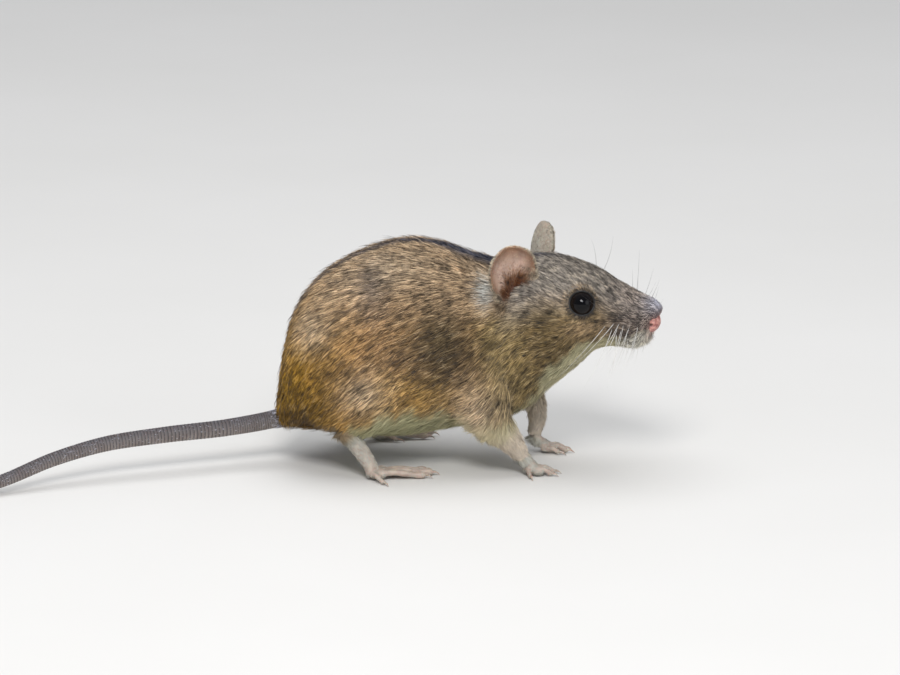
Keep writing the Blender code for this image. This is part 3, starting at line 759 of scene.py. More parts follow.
def ear_measures(points):
    """How surely a point is on an ear, on its inner face, and its rise and place across the leaf."""
    on_ear, inner = np.zeros(len(points)), np.zeros(len(points))
    rise, across = np.zeros(len(points)), np.zeros(len(points))
    run = np.zeros((len(points), 3))
    for word in SIDES:
        turn, root = ear_place(word)
        wide, deep, high = ((points - root) @ turn).T
        climb = np.clip(high / EAR_LENGTH, 0.0, 0.995)
        half = ear_leaf(climb, np.full_like(climb, 1.0))[:, 0]
        sine = wide / np.maximum(half / math.sin(EAR_ROLL), 0.3)
        place = np.arcsin(np.clip(sine, -0.99, 0.99)) / EAR_ROLL
        off = deep - ear_leaf(climb, place)[:, 1]
        loose = np.clip(0.25 * high, 0.6, 2.0)
        sure = ease(0.5, 0.0, np.abs(off) - loose) * ease(0.3, 1.2, high)
        sure *= ease(0.6, 0.2, np.abs(wide) - half - 0.4 * loose)
        take = sure > on_ear
        on_ear = np.where(take, sure, on_ear)
        inner = np.where(take, ease(-0.05, 0.05, off), inner)
        rise, across = np.where(take, climb, rise), np.where(take, place, across)
        fan = np.stack([0.9 * np.sin(place * EAR_ROLL), 0.0 * place, 0.3 + 0.7 * climb], axis=-1)
        run = np.where(take[:, None], fan @ turn.T, run)
    return on_ear, inner, rise, across, unit(run)


ear, ear_inner, ear_rise, ear_across, ear_run = ear_measures(skin_points)
print("points on ears:", int((ear > 0.5).sum()))

# %% [markdown]
# ## Markings
#
# A field mouse is dark along the back, ochre on the rump and low flanks, and whitish below. Each
# marking is a mask between 0 and 1 at every point of the skin. A painted image would do as well, but
# masks need no unwrap and stay soft at any size. Skin and coat both carry them, and one node group
# turns them into colour, so the two always agree. Two masks also carry painted light: painted shade
# low on the haunch's rear, and painted sheen in the paler top of the back.

# %% Spots on the whisker pads
WHISKER_ROOTS = [
    # straight x and z of each root, in five rows down the pad, and its place in the row
    (29.9 - 0.92 * column - 0.22 * row, 27.5 - 0.66 * row + 0.16 * column, row, column)
    for row, many in enumerate((4, 5, 6, 5, 4)) for column in range(many)]
PAD_START = 1.2  # how far from the middle the spots begin
SPOT_REACH, GUM_REACH = 0.34, 0.32


def patch(x, y, z, reach_x, reach_y, reach_z):
    """A soft spot on both sides of the body, in untwisted millimetres."""
    return bump_at(folded, (x, y, z), (reach_x, reach_y, reach_z))


def whisker_spots():
    """Small dark spots on the pads, one at each whisker's root, and the dark line of the mouth."""
    near = np.full(len(straight), FAR)
    pad = straight[:, 0] > MUZZLE_START
    roots = np.array([(x, z) for x, z, _, _ in WHISKER_ROOTS])
    away = np.linalg.norm(straight[pad][:, None, [0, 2]] - roots, axis=-1).min(axis=1)
    near[pad] = np.where(wide[pad] > PAD_START, away, FAR)
    return np.maximum(np.exp(-((near / SPOT_REACH) ** 2)), 0.9 * np.exp(-((gum / GUM_REACH) ** 2)))


print("whisker roots on each side:", len(WHISKER_ROOTS))

# %% Edges and masks of the markings
wave = 0.02 * np.sin(straight[:, 0] * 1.3) + 0.015 * np.sin(straight[:, 0] * 3.1 + 1.0)
low_edge = wave + np.interp(number, *np.array((
    # section number, height share of the white's upper edge
    (1.0, 0.02), (3.6, 0.01), (4.4, 0.04), (5.0, 0.15), (5.8, 0.24), (8.0, 0.15),
    (10.0, 0.03), (13.0, 0.16), (15.5, 0.22), (17.0, 0.30), (18.5, 0.34))).T)
stripe_width = 1.0 + 0.9 * between(6.5, 8.5, 10.5, 12.0, number)
shank = 0.55 * foot * (limb_kind == FOOT) * ease(0.22, 0.05, limb_share) * (straight[:, 0] < -10.0)
belly = ease(0.05, -0.05, height - low_edge) * ease(0.8, 2.2, number) * (1.0 - shank)
chin = belly * ease(15.5, 16.8, number)
underside = belly * (1.0 - chin)
MASKS = {
    "rump": ease(-9.0, -31.0, straight[:, 0] + 0.25 * (straight[:, 2] - 16.0)),
    "low_flank": ease(0.18, 0.03, np.abs(height - low_edge - 0.09)) * between(4.4, 5.8, 7.4, 8.6, number),
    "shoulder": 0.9 * patch(-3.0, 12.0, 24.5, 8.0, 9.0, 10.5),
    "neck_side": between(8.0, 9.5, 11.5, 13.5, number) * ease(0.85, 0.6, height),
    "cheek": between(10.5, 12.5, 16.2, 17.2, number) * ease(0.78, 0.54, height),
    "crown": ease(9.5, 12.0, number) * ease(0.46, 0.76, height),
    "muzzle": ease(14.8, 16.6, number),
    # the back's paler, greyer top is partly the coat's own tone and partly painted sheen of the light from
    # above
    "back": ease(0.62, 0.92, height) * between(2.0, 5.0, 9.0, 11.0, number),
    "stripe": ease(2.1, 0.5, wide / stripe_width) * ease(0.8, 0.95, height)
              * (0.65 + 0.35 * ease(4.0, 7.0, number)) * ease(14.0, 12.0, number),
    "belly": underside,
    "throat": underside * ease(9.0, 11.5, number),
    "leg": leg * ease(0.34, 0.56, limb_share),
    "eye_ring": np.maximum(
        0.75 * ease(3.1, 2.5, eye_gap) * (0.3 + 0.7 * ease(-1.0, 1.0, from_eye[:, 2])),
        0.8 * patch(22.6, 5.5, 26.2, 3.6, 4.0, 1.7)),
    "lid": np.maximum(ease(2.42, 2.22, eye_gap), patch(23.2, 5.2, 28.6, 0.5, 1.5, 0.35)),
    "ear_tuft": 1.6 * patch(4.8, 8.2, 31.8, 1.8, 3.0, 2.4) * (1.0 - ear),
    "chin": chin,
    "nose_top": patch(32.2, 0.0, 29.2, 2.0, 2.2, 1.4),
    "spot": whisker_spots(),
    "foot": foot * (1.0 - shank),
    "ear": ear,
    "nose_skin": bump_at(straight, (32.6, 0.0, 26.0), (1.8, 2.6, 1.75)),
    "ear_inner": ear * ear_inner,
    "ear_low": ear * ear_inner * ease(0.60, 0.20, ear_rise)
               * np.maximum(ease(-0.55, 0.15, ear_across), ease(0.30, 0.12, ear_rise)),
    "ear_edge": ear * (0.3 + 0.7 * ear_inner)
                * np.maximum(ease(0.25, 0.95, np.abs(ear_across)), ease(0.62, 0.97, ear_rise)),
    # painted shade: the low rear of the haunch, darkened to deep ochre where shade falls under the body
    "haunch_low": patch(-27.5, 9.0, 9.5, 6.0, 6.0, 5.0),
    "pale": 0.6 * patch(-24.8, 11.0, 26.5, 3.5, 6.0, 3.0) + 0.7 * patch(-15.8, 13.0, 16.5, 4.0, 6.0, 3.5)
            + 0.5 * patch(-11.0, 8.0, 35.2, 5.0, 5.0, 2.2) + 0.8 * patch(3.5, 10.0, 12.0, 5.0, 6.0, 5.0),
    "dusk": 0.6 * patch(-14.2, 9.0, 33.0, 2.2, 5.0, 4.5),
}
NOSE_SKIN, NOSE_TOP, EAR_LOW, CROWN = (
    list(MASKS).index(name) for name in ("nose_skin", "nose_top", "ear_low", "crown"))
ear_rim = ear * np.maximum(ease(0.80, 0.95, np.abs(ear_across)), ease(0.90, 0.97, ear_rise))
skin_masks = np.stack([np.clip(mask, 0.0, 1.0) for mask in MASKS.values()], axis=-1)
print("markings:", ", ".join(MASKS))

# %% [markdown]
# ## The lie of the coat
#
# Hair grows from the nose backwards and from the back downwards; on the legs it runs towards the
# toes. One direction is worked out at every point of the skin, then laid flat on the surface. The
# coat could be combed by hand, but a rule keeps the two sides alike.

# %% Direction of the hair
NOSE_TIP = np.array((33.0, 0.0, 26.4))


def mixed(first, second, share):
    """Directions turned from the first to the second by a share at each point."""
    return first + (np.asarray(second) - first) * np.asarray(share)[:, None]


tail_end = ease(7.5, 1.0, number)
side_part = ease(1.0, 0.7, height)
lie = np.stack([-1.0 + 0.42 * tail_end, 0.0 * number,
                -(0.04 + 0.36 * side_part + 0.85 * tail_end * side_part)], axis=-1)
REGIONS = (
    # direction, and where it holds
    ((-0.75, 0.0, -0.75), between(7.5, 9.0, 10.5, 12.5, number) * ease(0.7, 0.4, height)),  # shoulder
    ((-1.0, 0.0, -0.22), ease(11.0, 13.0, number)),  # head
    ((-1.0, 0.0, 0.50), between(11.5, 13.0, 16.5, 17.5, number) * ease(0.40, 0.65, height)),  # crown
    ((-1.0, 0.0, -0.75), ease(12.0, 14.0, number) * ease(0.45, 0.2, height)),  # jaw
)
for direction, share in REGIONS:
    lie = mixed(lie, direction, share)
outward = unit(from_eye)
outward[:, 1] *= np.sign(straight[:, 1])
lie = mixed(lie, outward + (-0.45, 0.0, 0.0), ease(3.7, 2.3, eye_gap))
from_nose = straight - NOSE_TIP
lie = mixed(lie, unit(from_nose), ease(3.6, 1.8, np.linalg.norm(from_nose, axis=1)))
head_angle = HEAD_TURN * ease(TURN_FROM, TURN_TO, straight[:, 0])
lie = np.stack([
    lie[:, 0] * np.cos(head_angle) - lie[:, 1] * np.sin(head_angle),
    lie[:, 0] * np.sin(head_angle) + lie[:, 1] * np.cos(head_angle), lie[:, 2]], axis=-1)
lie = mixed(unit(lie), limb_run + (-0.25, 0.0, 0.0), leg)
lie = mixed(lie, limb_run, foot)
lie = mixed(lie, ear_run, ear)
lie = unit(lie - (lie * skin_normals).sum(axis=1)[:, None] * skin_normals)
print("mean lie:", lie.mean(axis=0).round(2))

# %% [markdown]
# ## The length of the hair
#
# A field mouse's coat is longest on its back, short on the face and shortest on feet and ears. A
# table gives length, lift, width and density along the body, and each part with hair of its own
# then takes over by its mask. Painted maps would do as well, but rows of numbers are easier to
# compare.

# %% Length, lift, width and density of the hair
COAT_ALONG = np.array((
    # section number, length, lift in degrees, width, tufts to the square millimetre
    (0.0, 1.8, 28.0, 0.11, 40.0),
    (1.0, 2.3, 30.0, 0.12, 38.0),
    (2.0, 2.7, 32.0, 0.125, 34.0),
    (5.0, 3.0, 34.0, 0.125, 32.0),
    (8.0, 3.0, 34.0, 0.12, 34.0),
    (10.0, 2.9, 33.0, 0.115, 38.0),
    (11.5, 2.5, 32.0, 0.11, 46.0),
    (13.0, 2.0, 31.0, 0.10, 58.0),
    (14.0, 1.7, 30.0, 0.095, 70.0),
    (15.0, 1.35, 31.0, 0.085, 74.0),
    (16.0, 1.1, 34.0, 0.075, 62.0),
    (17.0, 0.85, 38.0, 0.065, 52.0),
    (18.0, 0.65, 40.0, 0.06, 56.0),
    (19.0, 0.5, 40.0, 0.055, 76.0),
))
near_eye = ease(4.2, 2.5, eye_gap)
leg_fade = ease(0.3, 1.0, limb_share)
foot_length = np.where(limb_kind == TOE, 0.36, 0.80 - 0.25 * limb_share)
foot_length += 0.9 * ease(0.34, 0.0, limb_share) * (limb_kind == FOOT)
ear_low = skin_masks[:, EAR_LOW]
ear_density = 55.0 + 60.0 * ease(0.40, 0.1, ear_rise) + 50.0 * (1.0 - ear_inner)
PARTS = (
    # where, then the part's own length, lift, width and density; None leaves what was there
    (near_eye, 0.75, 22.0, 0.07, 120.0),
    (chin, 1.25, 38.0, None, None),
    (leg, 2.2 - 1.4 * leg_fade, None, 0.12 - 0.04 * leg_fade, 42.0 + 30.0 * leg_fade),
    (foot, foot_length, 16.0, 0.07, np.where(limb_kind == TOE, 100.0, 120.0)),
    (ear, 0.55 + 0.5 * ease(0.35, 0.05, ear_rise), 18.0, 0.06, ear_density),
    (ear_low, 1.5, None, None, None),
    (np.maximum(ear_low, ear_rim), None, None, None, 110.0),
)
hair = [np.interp(number, COAT_ALONG[:, 0], values) for values in COAT_ALONG[:, 1:].T]
hair[0] *= 1.0 - 0.12 * belly
for mask, *values in PARTS:
    for field, value in enumerate(values):
        if value is not None:
            hair[field] += (value - hair[field]) * mask
hair_length, hair_lift, hair_width, hair_density = hair
hair_length *= 1.0 - 1.6 * ear * (1.0 - ear)  # shorter where the ear leaves the head
hair_length += (0.30 - hair_length) * ease(0.82, 0.97, ear_rise) * ear
hem = ease(10.5, 8.0, skin_points[:, 2]) * ease(-12.0, -15.0, straight[:, 0])
hem *= (1.0 - foot) * ease(5.0, 7.0, wide)  # the haunch's lower edge, where hair hangs over the shank
hair_length += 0.9 * hem
hair_lift += 10.0 * hem
hair_density *= ease(2.14, 2.26, eye_gap)  # none on the eyeball, the nose, the soles and the gums
hair_density *= 1.0 - ease(0.35, 0.6, skin_masks[:, NOSE_SKIN])
hair_density *= ease(0.12, 0.3, skin_points[:, 2])
hair_density *= ease(0.12, 0.30, gum)
print("hair length, mm:", hair_length.min().round(2), "to", hair_length.max().round(2))

# %% [markdown]
# ## Tufts
#
# A tuft is a thin flat blade of five triangles: two at its root, a narrowing middle and a pointed
# tip. It leaves the skin at an angle and bends over to lie along the body. Neighbours lean towards
# one another, as hairs do when they clump. Blender's hair curves would be finer, but only faces
# stay with the model wherever it goes, so each tuft stands for a few hairs.

# %% Scattered roots


def scatter(count, density, draws):
    """Roots on the skin: triangle numbers and weights of their corners.

    A triangle's chance is its area times its mean density. The draws step evenly through the
    running total, so the roots are even and still irregular.
    """
    corners = skin_points[skin_faces]
    square = np.cross(corners[:, 1] - corners[:, 0], corners[:, 2] - corners[:, 0])
    area = np.linalg.norm(square, axis=1) / 2.0
    total = np.cumsum(area * density[skin_faces].mean(axis=1))
    at = (np.arange(count) + draws.random(count)) / count * total[-1]
    triangle = np.minimum(np.searchsorted(total, at), len(skin_faces) - 1)
    first, second = np.sqrt(draws.random(count)), draws.random(count)
    weights = np.stack([1.0 - first, first * (1.0 - second), first * second], axis=-1)
    return triangle, weights, total[-1]


def at_roots(field, triangle, weights):
    """A field of the skin's points, read at the roots."""
    values = field[skin_faces[triangle]]
    weights = weights.reshape(weights.shape + (1,) * (values.ndim - 2))
    return (values * weights).sum(axis=1)


# %% [markdown]
# ## Clumps
#
# A wild mouse's coat parts into small pointed locks. Each tuft belongs to a cell of a grid that
# follows the coat's run, and its tip is drawn towards the middle of the roots in that cell. Locks
# could be grown one by one, but a grid gives them to the whole coat at once.

# %% Clumps
SHEAR, FACE_SHEAR = 0.28, -0.42  # how far the coat's run falls for each millimetre along x
LONG_CELL, STEEP_CELL, FACE_CELL = (0.23, 1.1, 1.1), (0.9, 1.1, 0.32), (0.28, 1.2, 1.2)
CELL_KEYS = np.array((73856093, 19349663, 83492791))  # large primes, so that each cell has its own sum


def clumps(points, steep, small, size):
    """A clump number for every root: its cell in a grid that is bent by slow waves.

    The grid is sheared to the run of the coat and stretched along it, so its cells are long from
    front to back, or from top to bottom where the coat is steep. Face and crown have their own run.
    """
    fall = np.where(small > 0.5, FACE_SHEAR, SHEAR)
    cells = points.copy()
    cells[:, 2] -= fall * points[:, 0]
    face = np.where(small[:, None] > 0.5, FACE_CELL, LONG_CELL)
    cells *= np.where(steep[:, None] > 0.5, STEEP_CELL, face)
    cells += 0.4 * size * np.sin(cells[:, [1, 2, 0]] * (2.1 / size) + (0.3, 1.7, 2.9))
    sums = np.floor(cells / size).astype(np.int64) @ CELL_KEYS
    return np.unique(sums, return_inverse=True)[1].reshape(-1)


def clump_mean(values, number):
    """The mean of the values over each clump, given back at every root."""
    total = np.column_stack([np.bincount(number, weights=column) for column in values.T])
    return (total / np.bincount(number)[:, None])[number]


# %% Blades from roots
BLADE_STEPS = np.array((0.0, 0.34, 0.70, 1.0))
BLADE_WIDTHS = np.array((0.75, 1.0, 0.72, 0.0))
BLADE_POINTS = 7  # a pair at each step, and one at the tip
ROOT_DEPTH = 0.08  # how far a root is sunk in the skin
GATHER_BEND = 1.4


def grow(root, normal, lie, length, width, lift, droop, roll, gather, reach):
    """The points of each blade, root first.

    The middle line starts at the angle lift over the skin and ends at the angle droop; each step
    adds its length along the mean angle. Gather times reach pulls it to its clump, by the share of
    the way to the power of GATHER_BEND, so most at the tip.
    """
    across = np.cross(normal, lie)
    side = across * np.cos(roll)[:, None] + normal * np.sin(roll)[:, None]
    place = root - normal * ROOT_DEPTH
    made = []
    last = 0.0
    for share, broad in zip(BLADE_STEPS, BLADE_WIDTHS):
        angle = (lift + (droop - lift) * (share + last) / 2.0)[:, None]
        run = np.cos(angle) * lie + np.sin(angle) * normal
        place = place + (length * (share - last))[:, None] * run
        spot = place + gather * (reach * share**GATHER_BEND)[:, None]
        half = side * (width * broad / 2.0)[:, None]
        made += [spot - half, spot + half] if broad else [spot]
        last = share
    return np.stack(made, axis=1)


def blade_faces(count):
    """Corner numbers of two quads and a tip triangle for each blade."""
    start = (np.arange(count) * BLADE_POINTS)[:, None]
    quads = np.stack([start + (0, 2, 3, 1), start + (2, 4, 5, 3)], axis=1).reshape(-1, 4)
    return quads, start + (4, 6, 5)


# %% [markdown]
# ## Meshes from arrays
#
# Every visible piece is put together here: points in metres in the solids' own frame, faces of
# three or four corners, and any attributes that its material reads.

# %% Pieces


def to_world(points):
    """From the mouse's millimetres to metres in the frame of the solids."""
    return (points - np.append(ORIGIN[:2], 0.0)) * MM


def piece(name, points, faces, attributes=None):
    """A named object at the origin from millimetre points and one or more arrays of faces."""
    mesh = bpy.data.meshes.new(name)
    sizes = np.concatenate([np.full(len(part), part.shape[1]) for part in faces])
    corners = np.concatenate([part.ravel() for part in faces]).astype(np.int32)
    mesh.vertices.add(len(points))
    mesh.vertices.foreach_set("co", to_world(points).astype(np.float32).ravel())
    mesh.loops.add(len(corners))
    mesh.loops.foreach_set("vertex_index", corners)
    mesh.polygons.add(len(sizes))
    mesh.polygons.foreach_set("loop_start", (np.cumsum(sizes) - sizes).astype(np.int32))
    mesh.update(calc_edges=True)
    mesh.shade_smooth()
    for key, values in (attributes or {}).items():
        layer = mesh.attributes.new(key, "FLOAT_VECTOR", "POINT")
        layer.data.foreach_set("vector", np.ascontiguousarray(values, np.float32).ravel())
    made = bpy.data.objects.new(name, mesh)
    bpy.context.scene.collection.objects.link(made)
    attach(made, "root")
    return made


def mask_layers(masks):
    """The masks three by three, as the vector attributes marks_1, marks_2 and so on."""
    return {f"marks_{k + 1}": masks[:, 3 * k:3 * k + 3] for k in range(masks.shape[1] // 3)}


def add_map(made, uv):
    """The map named OFBake: one pair for each face corner."""
    layer = made.data.uv_layers.new(name="OFBake")
    layer.data.foreach_set("uv", np.ascontiguousarray(uv, np.float32).ravel())


# %% [markdown]
# ## The skin's map
#
# The skin now stands for all the solids of flesh. Its map is named OFBake. Seams marked by hand
# would waste less of it, but a projection by angle needs none, and no pattern follows this map.

# %% The skin as a piece, and its unwrap
skin = piece("skin", skin_points, [skin_faces], mask_layers(skin_masks))
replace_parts(skin, *[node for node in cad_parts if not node.startswith(("tail", "eye", "nose"))])
bpy.context.view_layer.objects.active = skin
skin.select_set(True)
bpy.ops.object.mode_set(mode="EDIT")
bpy.ops.mesh.select_all(action="SELECT")
bpy.ops.uv.smart_project(angle_limit=math.radians(66.0), island_margin=0.002)
bpy.ops.object.mode_set(mode="OBJECT")
skin.select_set(False)
unwrap = np.empty(len(skin.data.loops) * 2, np.float32)
skin.data.uv_layers[0].data.foreach_get("uv", unwrap)
unwrap = unwrap.reshape(-1, 3, 2)
skin.data.uv_layers[0].name = "OFBake"
print("skin unwrapped:", len(unwrap), "triangles")

# %% [markdown]
# ## The coat
#
# One mesh for the whole coat would be too heavy to handle, so it is dealt out into eight pieces.
# They could be cut by region, but then a border might show. Dealt out in turn, each piece is a thin
# even layer of the whole coat.

# %% Pieces of the coat
PATCH = 0.003  # a tuft's share of the map


def coat_pieces(name, blades, uv_root, masks, strand, pieces):
    """Objects of blades, dealt out in turn, so each holds a thin even layer of the whole coat."""
    step = np.repeat(BLADE_STEPS, (2, 2, 2, 1))  # each point's share of its blade's length
    offset = np.column_stack([(-0.5, 0.5, -0.5, 0.5, -0.5, 0.5, 0.0), step - 0.5]) * PATCH
    made = []
    for turn in range(pieces):
        pick = slice(turn, None, pieces)
        count = len(blades[pick])
        quads, tips = blade_faces(count)
        layers = mask_layers(np.repeat(masks[pick], BLADE_POINTS, axis=0))
        layers["strand"] = np.column_stack([
            np.tile(step, count), np.repeat(strand[pick], BLADE_POINTS, axis=0)])
        label = f"{name}_{turn + 1}" if pieces > 1 else name
        item = piece(label, blades[pick].reshape(-1, 3), [quads, tips], layers)
        corner = np.concatenate([quads.ravel(), tips.ravel()])
        add_map(item, uv_root[pick][corner // BLADE_POINTS] + offset[corner % BLADE_POINTS])
        made.append(item)
    return made


# %% The coat
COAT_PIECES, COAT_TUFTS = 8, 286000
CLUMP_SIZE, CLUMP_PULL = 0.34, 0.45
GUARD_SHARE, MUZZLE_GUARDS = 0.11, 0.12  # shares of dark guard hairs: everywhere, and more on the muzzle
TURN_SPREAD, CLUMP_TURN, ROLL_SPREAD = 0.13, 0.10, 0.45
LIFT_SPREAD, CLUMP_LIFT, GUARD_LIFT = np.radians(5.0), np.radians(3.0), np.radians(3.0)
TIP_DROOP, DROOP_SPREAD = np.radians(-6.0), np.radians(6.0)
FLATTEST = 0.12  # the least angle between a tuft's root and the skin
OWN_TONE = 0.34  # the rest of a tuft's tone is its clump's
FLOOR_GAP = 0.03


def make_coat(draws):
    """The whole coat: the fields are read at the roots, each gets its own scatter, and blades grow.

    A clump shares one tone, one turn and one lift, to which every tuft adds a little of its own.
    """
    triangle, weights, total = scatter(COAT_TUFTS, hair_density, draws)
    print("tufts wanted by the densities:", int(total), "grown:", COAT_TUFTS)

    def read(field):
        return at_roots(field, triangle, weights)

    def about(spread):
        return draws.normal(0.0, spread, COAT_TUFTS)

    root, normal = read(skin_points), unit(read(skin_normals))
    masks, length, width = read(skin_masks), read(hair_length), read(hair_width)
    lift = np.radians(read(hair_lift))
    bare = np.maximum(read(foot), read(ear))
    small = np.maximum(ease(14.0, 15.0, read(number)), read(skin_masks[:, CROWN]))
    lie_here = read(lie)
    group = clumps(root, read(tail_end * side_part), small, CLUMP_SIZE)
    many = group.max() + 1
    group_tone = draws.random(many)
    group_turn, group_lift = draws.normal(0, CLUMP_TURN, many), draws.normal(0, CLUMP_LIFT, many)
    guard_share = GUARD_SHARE * (1.0 - bare) + MUZZLE_GUARDS * ease(14.5, 16.0, read(number))
    guard = (draws.random(COAT_TUFTS) < guard_share) * 1.0
    turn = about(TURN_SPREAD) + group_turn[group]
    lie_here = unit(lie_here - (lie_here * normal).sum(axis=1)[:, None] * normal)
    lie_here = unit(lie_here * np.cos(turn)[:, None] + np.cross(normal, lie_here) * np.sin(turn)[:, None])
    length *= (0.82 + 0.36 * draws.random(COAT_TUFTS)) * (1.0 + 0.22 * guard)
    lift += about(LIFT_SPREAD) + group_lift[group] + GUARD_LIFT * guard
    lift = np.maximum(lift, FLATTEST)
    droop = TIP_DROOP + about(DROOP_SPREAD)
    width *= (0.7 + 0.6 * draws.random(COAT_TUFTS)) * (1.0 - 0.3 * guard)
    gather = clump_mean(root, group) - root
    reach = CLUMP_PULL * np.clip(length / 2.5, 0.15, 1.0)
    tone = OWN_TONE * draws.random(COAT_TUFTS) + (1.0 - OWN_TONE) * group_tone[group]
    blades = grow(root, normal, lie_here, length, width, lift, droop, about(ROLL_SPREAD), gather, reach)
    blades[..., 2] = np.maximum(blades[..., 2], FLOOR_GAP)
    uv_root = (unwrap[triangle] * weights[..., None]).sum(axis=1)
    strand = np.stack([tone, guard * (1.0 - read(belly))], axis=-1)
    return coat_pieces("coat", blades, uv_root, masks, strand, COAT_PIECES)


coat = make_coat(np.random.default_rng(11))
print("coat:", len(coat), "pieces of", len(coat[0].data.polygons), "faces")

# %% [markdown]
# ## Eyes
#
# A mouse's eye is a glossy ball, nearly all dark, with a clear cornea that bulges a little. It is
# set as deep as the solid's own. The cornea could be a glass shell over it, but on so dark an eye a
# smooth hill on the ball looks the same.

# %% Eyes
CORNEA_RISE, CORNEA_REACH = 0.035, 0.75  # share of the radius, and an angle


def ball_grid(axis, polar_steps, around_steps):
    """Directions over a ball whose pole is the axis: the polar angle and the rings of directions."""
    axis = unit(np.asarray(axis, float))
    across = unit(np.cross(axis, (0.0, 0.0, 1.0)))
    up = np.cross(across, axis)
    polar = np.linspace(0.012, math.pi - 0.012, polar_steps)[:, None, None]
    around = circle(around_steps)[None, :, None]
    rings = np.cos(polar) * axis + np.sin(polar) * (np.cos(around) * across + np.sin(around) * up)
    return np.broadcast_to(polar[..., 0], rings.shape[:2]), rings


def make_eye(word):
    """An eyeball: a ball times 1 plus a smooth hill, the cornea, round the eye's axis.

    The attribute from_axis is the angle from that axis.
    """
    side = SIDES[word]
    polar, rings = ball_grid(EYE_AXIS, 40, 56)
    cornea = 1.0 + CORNEA_RISE * np.exp(-((polar / CORNEA_REACH) ** 2))
    ball = EYE_CENTRE + EYE_RADIUS * rings * cornea[..., None]
    points, faces = shell(turn_head(ball * (1.0, side, 1.0)))
    angle = np.append(polar.ravel(), (0.0, math.pi))
    made = piece(f"eyeball_{word}", points, [faces], {"from_axis": np.column_stack([angle] * 3)})
    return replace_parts(made, f"eye_{word}")


eyes = [make_eye(word) for word in SIDES]
print("eyes:", [item.name for item in eyes])

# %% [markdown]
# ## Nose pad
#
# The nose is a bare moist pad with a nostril at each side and a groove below. It could be sculpted,
# but a stretched ball with a hill or a hollow for each form keeps both sides alike.

# %% Nose pad
NOSE_CENTRE, NOSE_RADII = np.array((30.95, 0.0, 26.4)), np.array((1.7, 2.15, 1.85))
NOSTRIL = unit(np.array((0.36, 0.90, -0.14))), (0.34, 0.34, 0.17)  # direction on the ball, and reach
NOSE_WING = unit(np.array((0.60, 0.66, 0.42))), (0.40, 0.30, 0.20)
NOSE_FRONT = (1.0, 0.0, 0.15), (0.5, 0.35, 0.45)


def make_nose():
    """The nose pad: a stretched ball with two nostrils, a wing over each and a groove below.

    The ball's size is 1 plus a smooth hill or hollow for each form; both sides are alike.
    """
    _, rings = ball_grid((1.0, 0.0, 0.0), 70, 110)
    out = rings.copy()
    out[..., 1] = np.abs(out[..., 1])
    nostril, wing, tip = (bump_at(out, *spot) for spot in (NOSTRIL, NOSE_WING, NOSE_FRONT))
    groove = np.exp(-((out[..., 1] / 0.07) ** 2)) * ease(0.35, -0.35, out[..., 2])
    groove *= ease(-0.2, 0.4, out[..., 0])
    size = 1.0 - 0.26 * nostril + 0.08 * wing + 0.06 * tip - 0.12 * groove
    points, faces = shell(turn_head(NOSE_CENTRE + rings * NOSE_RADII * size[..., None]))
    # the nostrils' hollows, which the nose's material darkens as painted shade
    inside = np.append(nostril.ravel(), (0.0, 0.0))
    made = piece("nose_pad", points, [faces], {"nostril": np.column_stack([inside] * 3)})
    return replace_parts(made, "nose")


nose_pad = make_nose()
print("nose pad:", len(nose_pad.data.polygons), "faces")

# %% [markdown]
# ## Claws
#
# Each toe ends in a small pale claw that curves down to the ground: a bent cone that starts inside
# the toe, so that no gap shows. It could be part of the skin, but the skin's grid is too coarse for
# so fine a point.

# %% Claws
CLAW_RADIUS, CLAW_TIP_RADIUS = 0.21, 0.035
CLAW_ARCH, CLAW_TIP_HEIGHT = 0.06, 0.08


def claw_shell(root, tip, radius):
    """A cone bent downwards from the toe's end: its height falls by the share of the way to the 2.2.

    It starts a quarter of its length inside the toe, level there, and ends just over the floor.
    """
    line, _ = toe_line(root, tip, radius)
    start = line[-1] + (0.0, 0.0, 0.10)
    run = unit(np.array((*tip, 0.0)) - start * (1.0, 1.0, 0.0))
    share = np.linspace(-0.25, 1.0, 12)
    out = np.clip(share, 0.0, 1.0)
    centre = start + run * (share * CLAW_LENGTH * 1.05)[:, None]
    centre[:, 2] = start[2] + CLAW_ARCH * out - (start[2] + CLAW_ARCH - CLAW_TIP_HEIGHT) * out**2.2
    thick = CLAW_TIP_RADIUS + (CLAW_RADIUS - CLAW_TIP_RADIUS) * np.clip(1.0 - share, 0.0, 1.0) ** 0.8
    return shell(round_rings(centre, thick, 10))


points, faces = together([claw_shell(*toe) for toes in TOES.values() for toe in toes])
points[:, 2] = np.maximum(points[:, 2], 0.0)
claws = piece("claws", points, [faces])
print("claws:", sum(len(toes) for toes in TOES.values()))

# %% [markdown]
# ## Whiskers
#
# Whiskers grow in rows on the swollen pads, longest at the back, with a few on chin and brow, and
# each droops a little towards its end. They could be curves with a thickness, but tapering tubes of
# five sides are just as light and are faces from the start.

# %% Whiskers
WHISKER_SIDES, WHISKER_RINGS, WHISKER_TAPER = 5, 14, 0.86
BROW_WHISKERS = (
    # root, first direction, length, droop, thickness, darkness
    ((21.5, 4.5, 33.0), (0.2, 0.6, 0.8), 7.0, (-0.5, 0.1, 0.1), 0.03, 1.0),
    ((20.3, 4.8, 33.2), (0.0, 0.6, 0.8), 5.5, (-0.5, 0.1, 0.1), 0.03, 1.0),
)


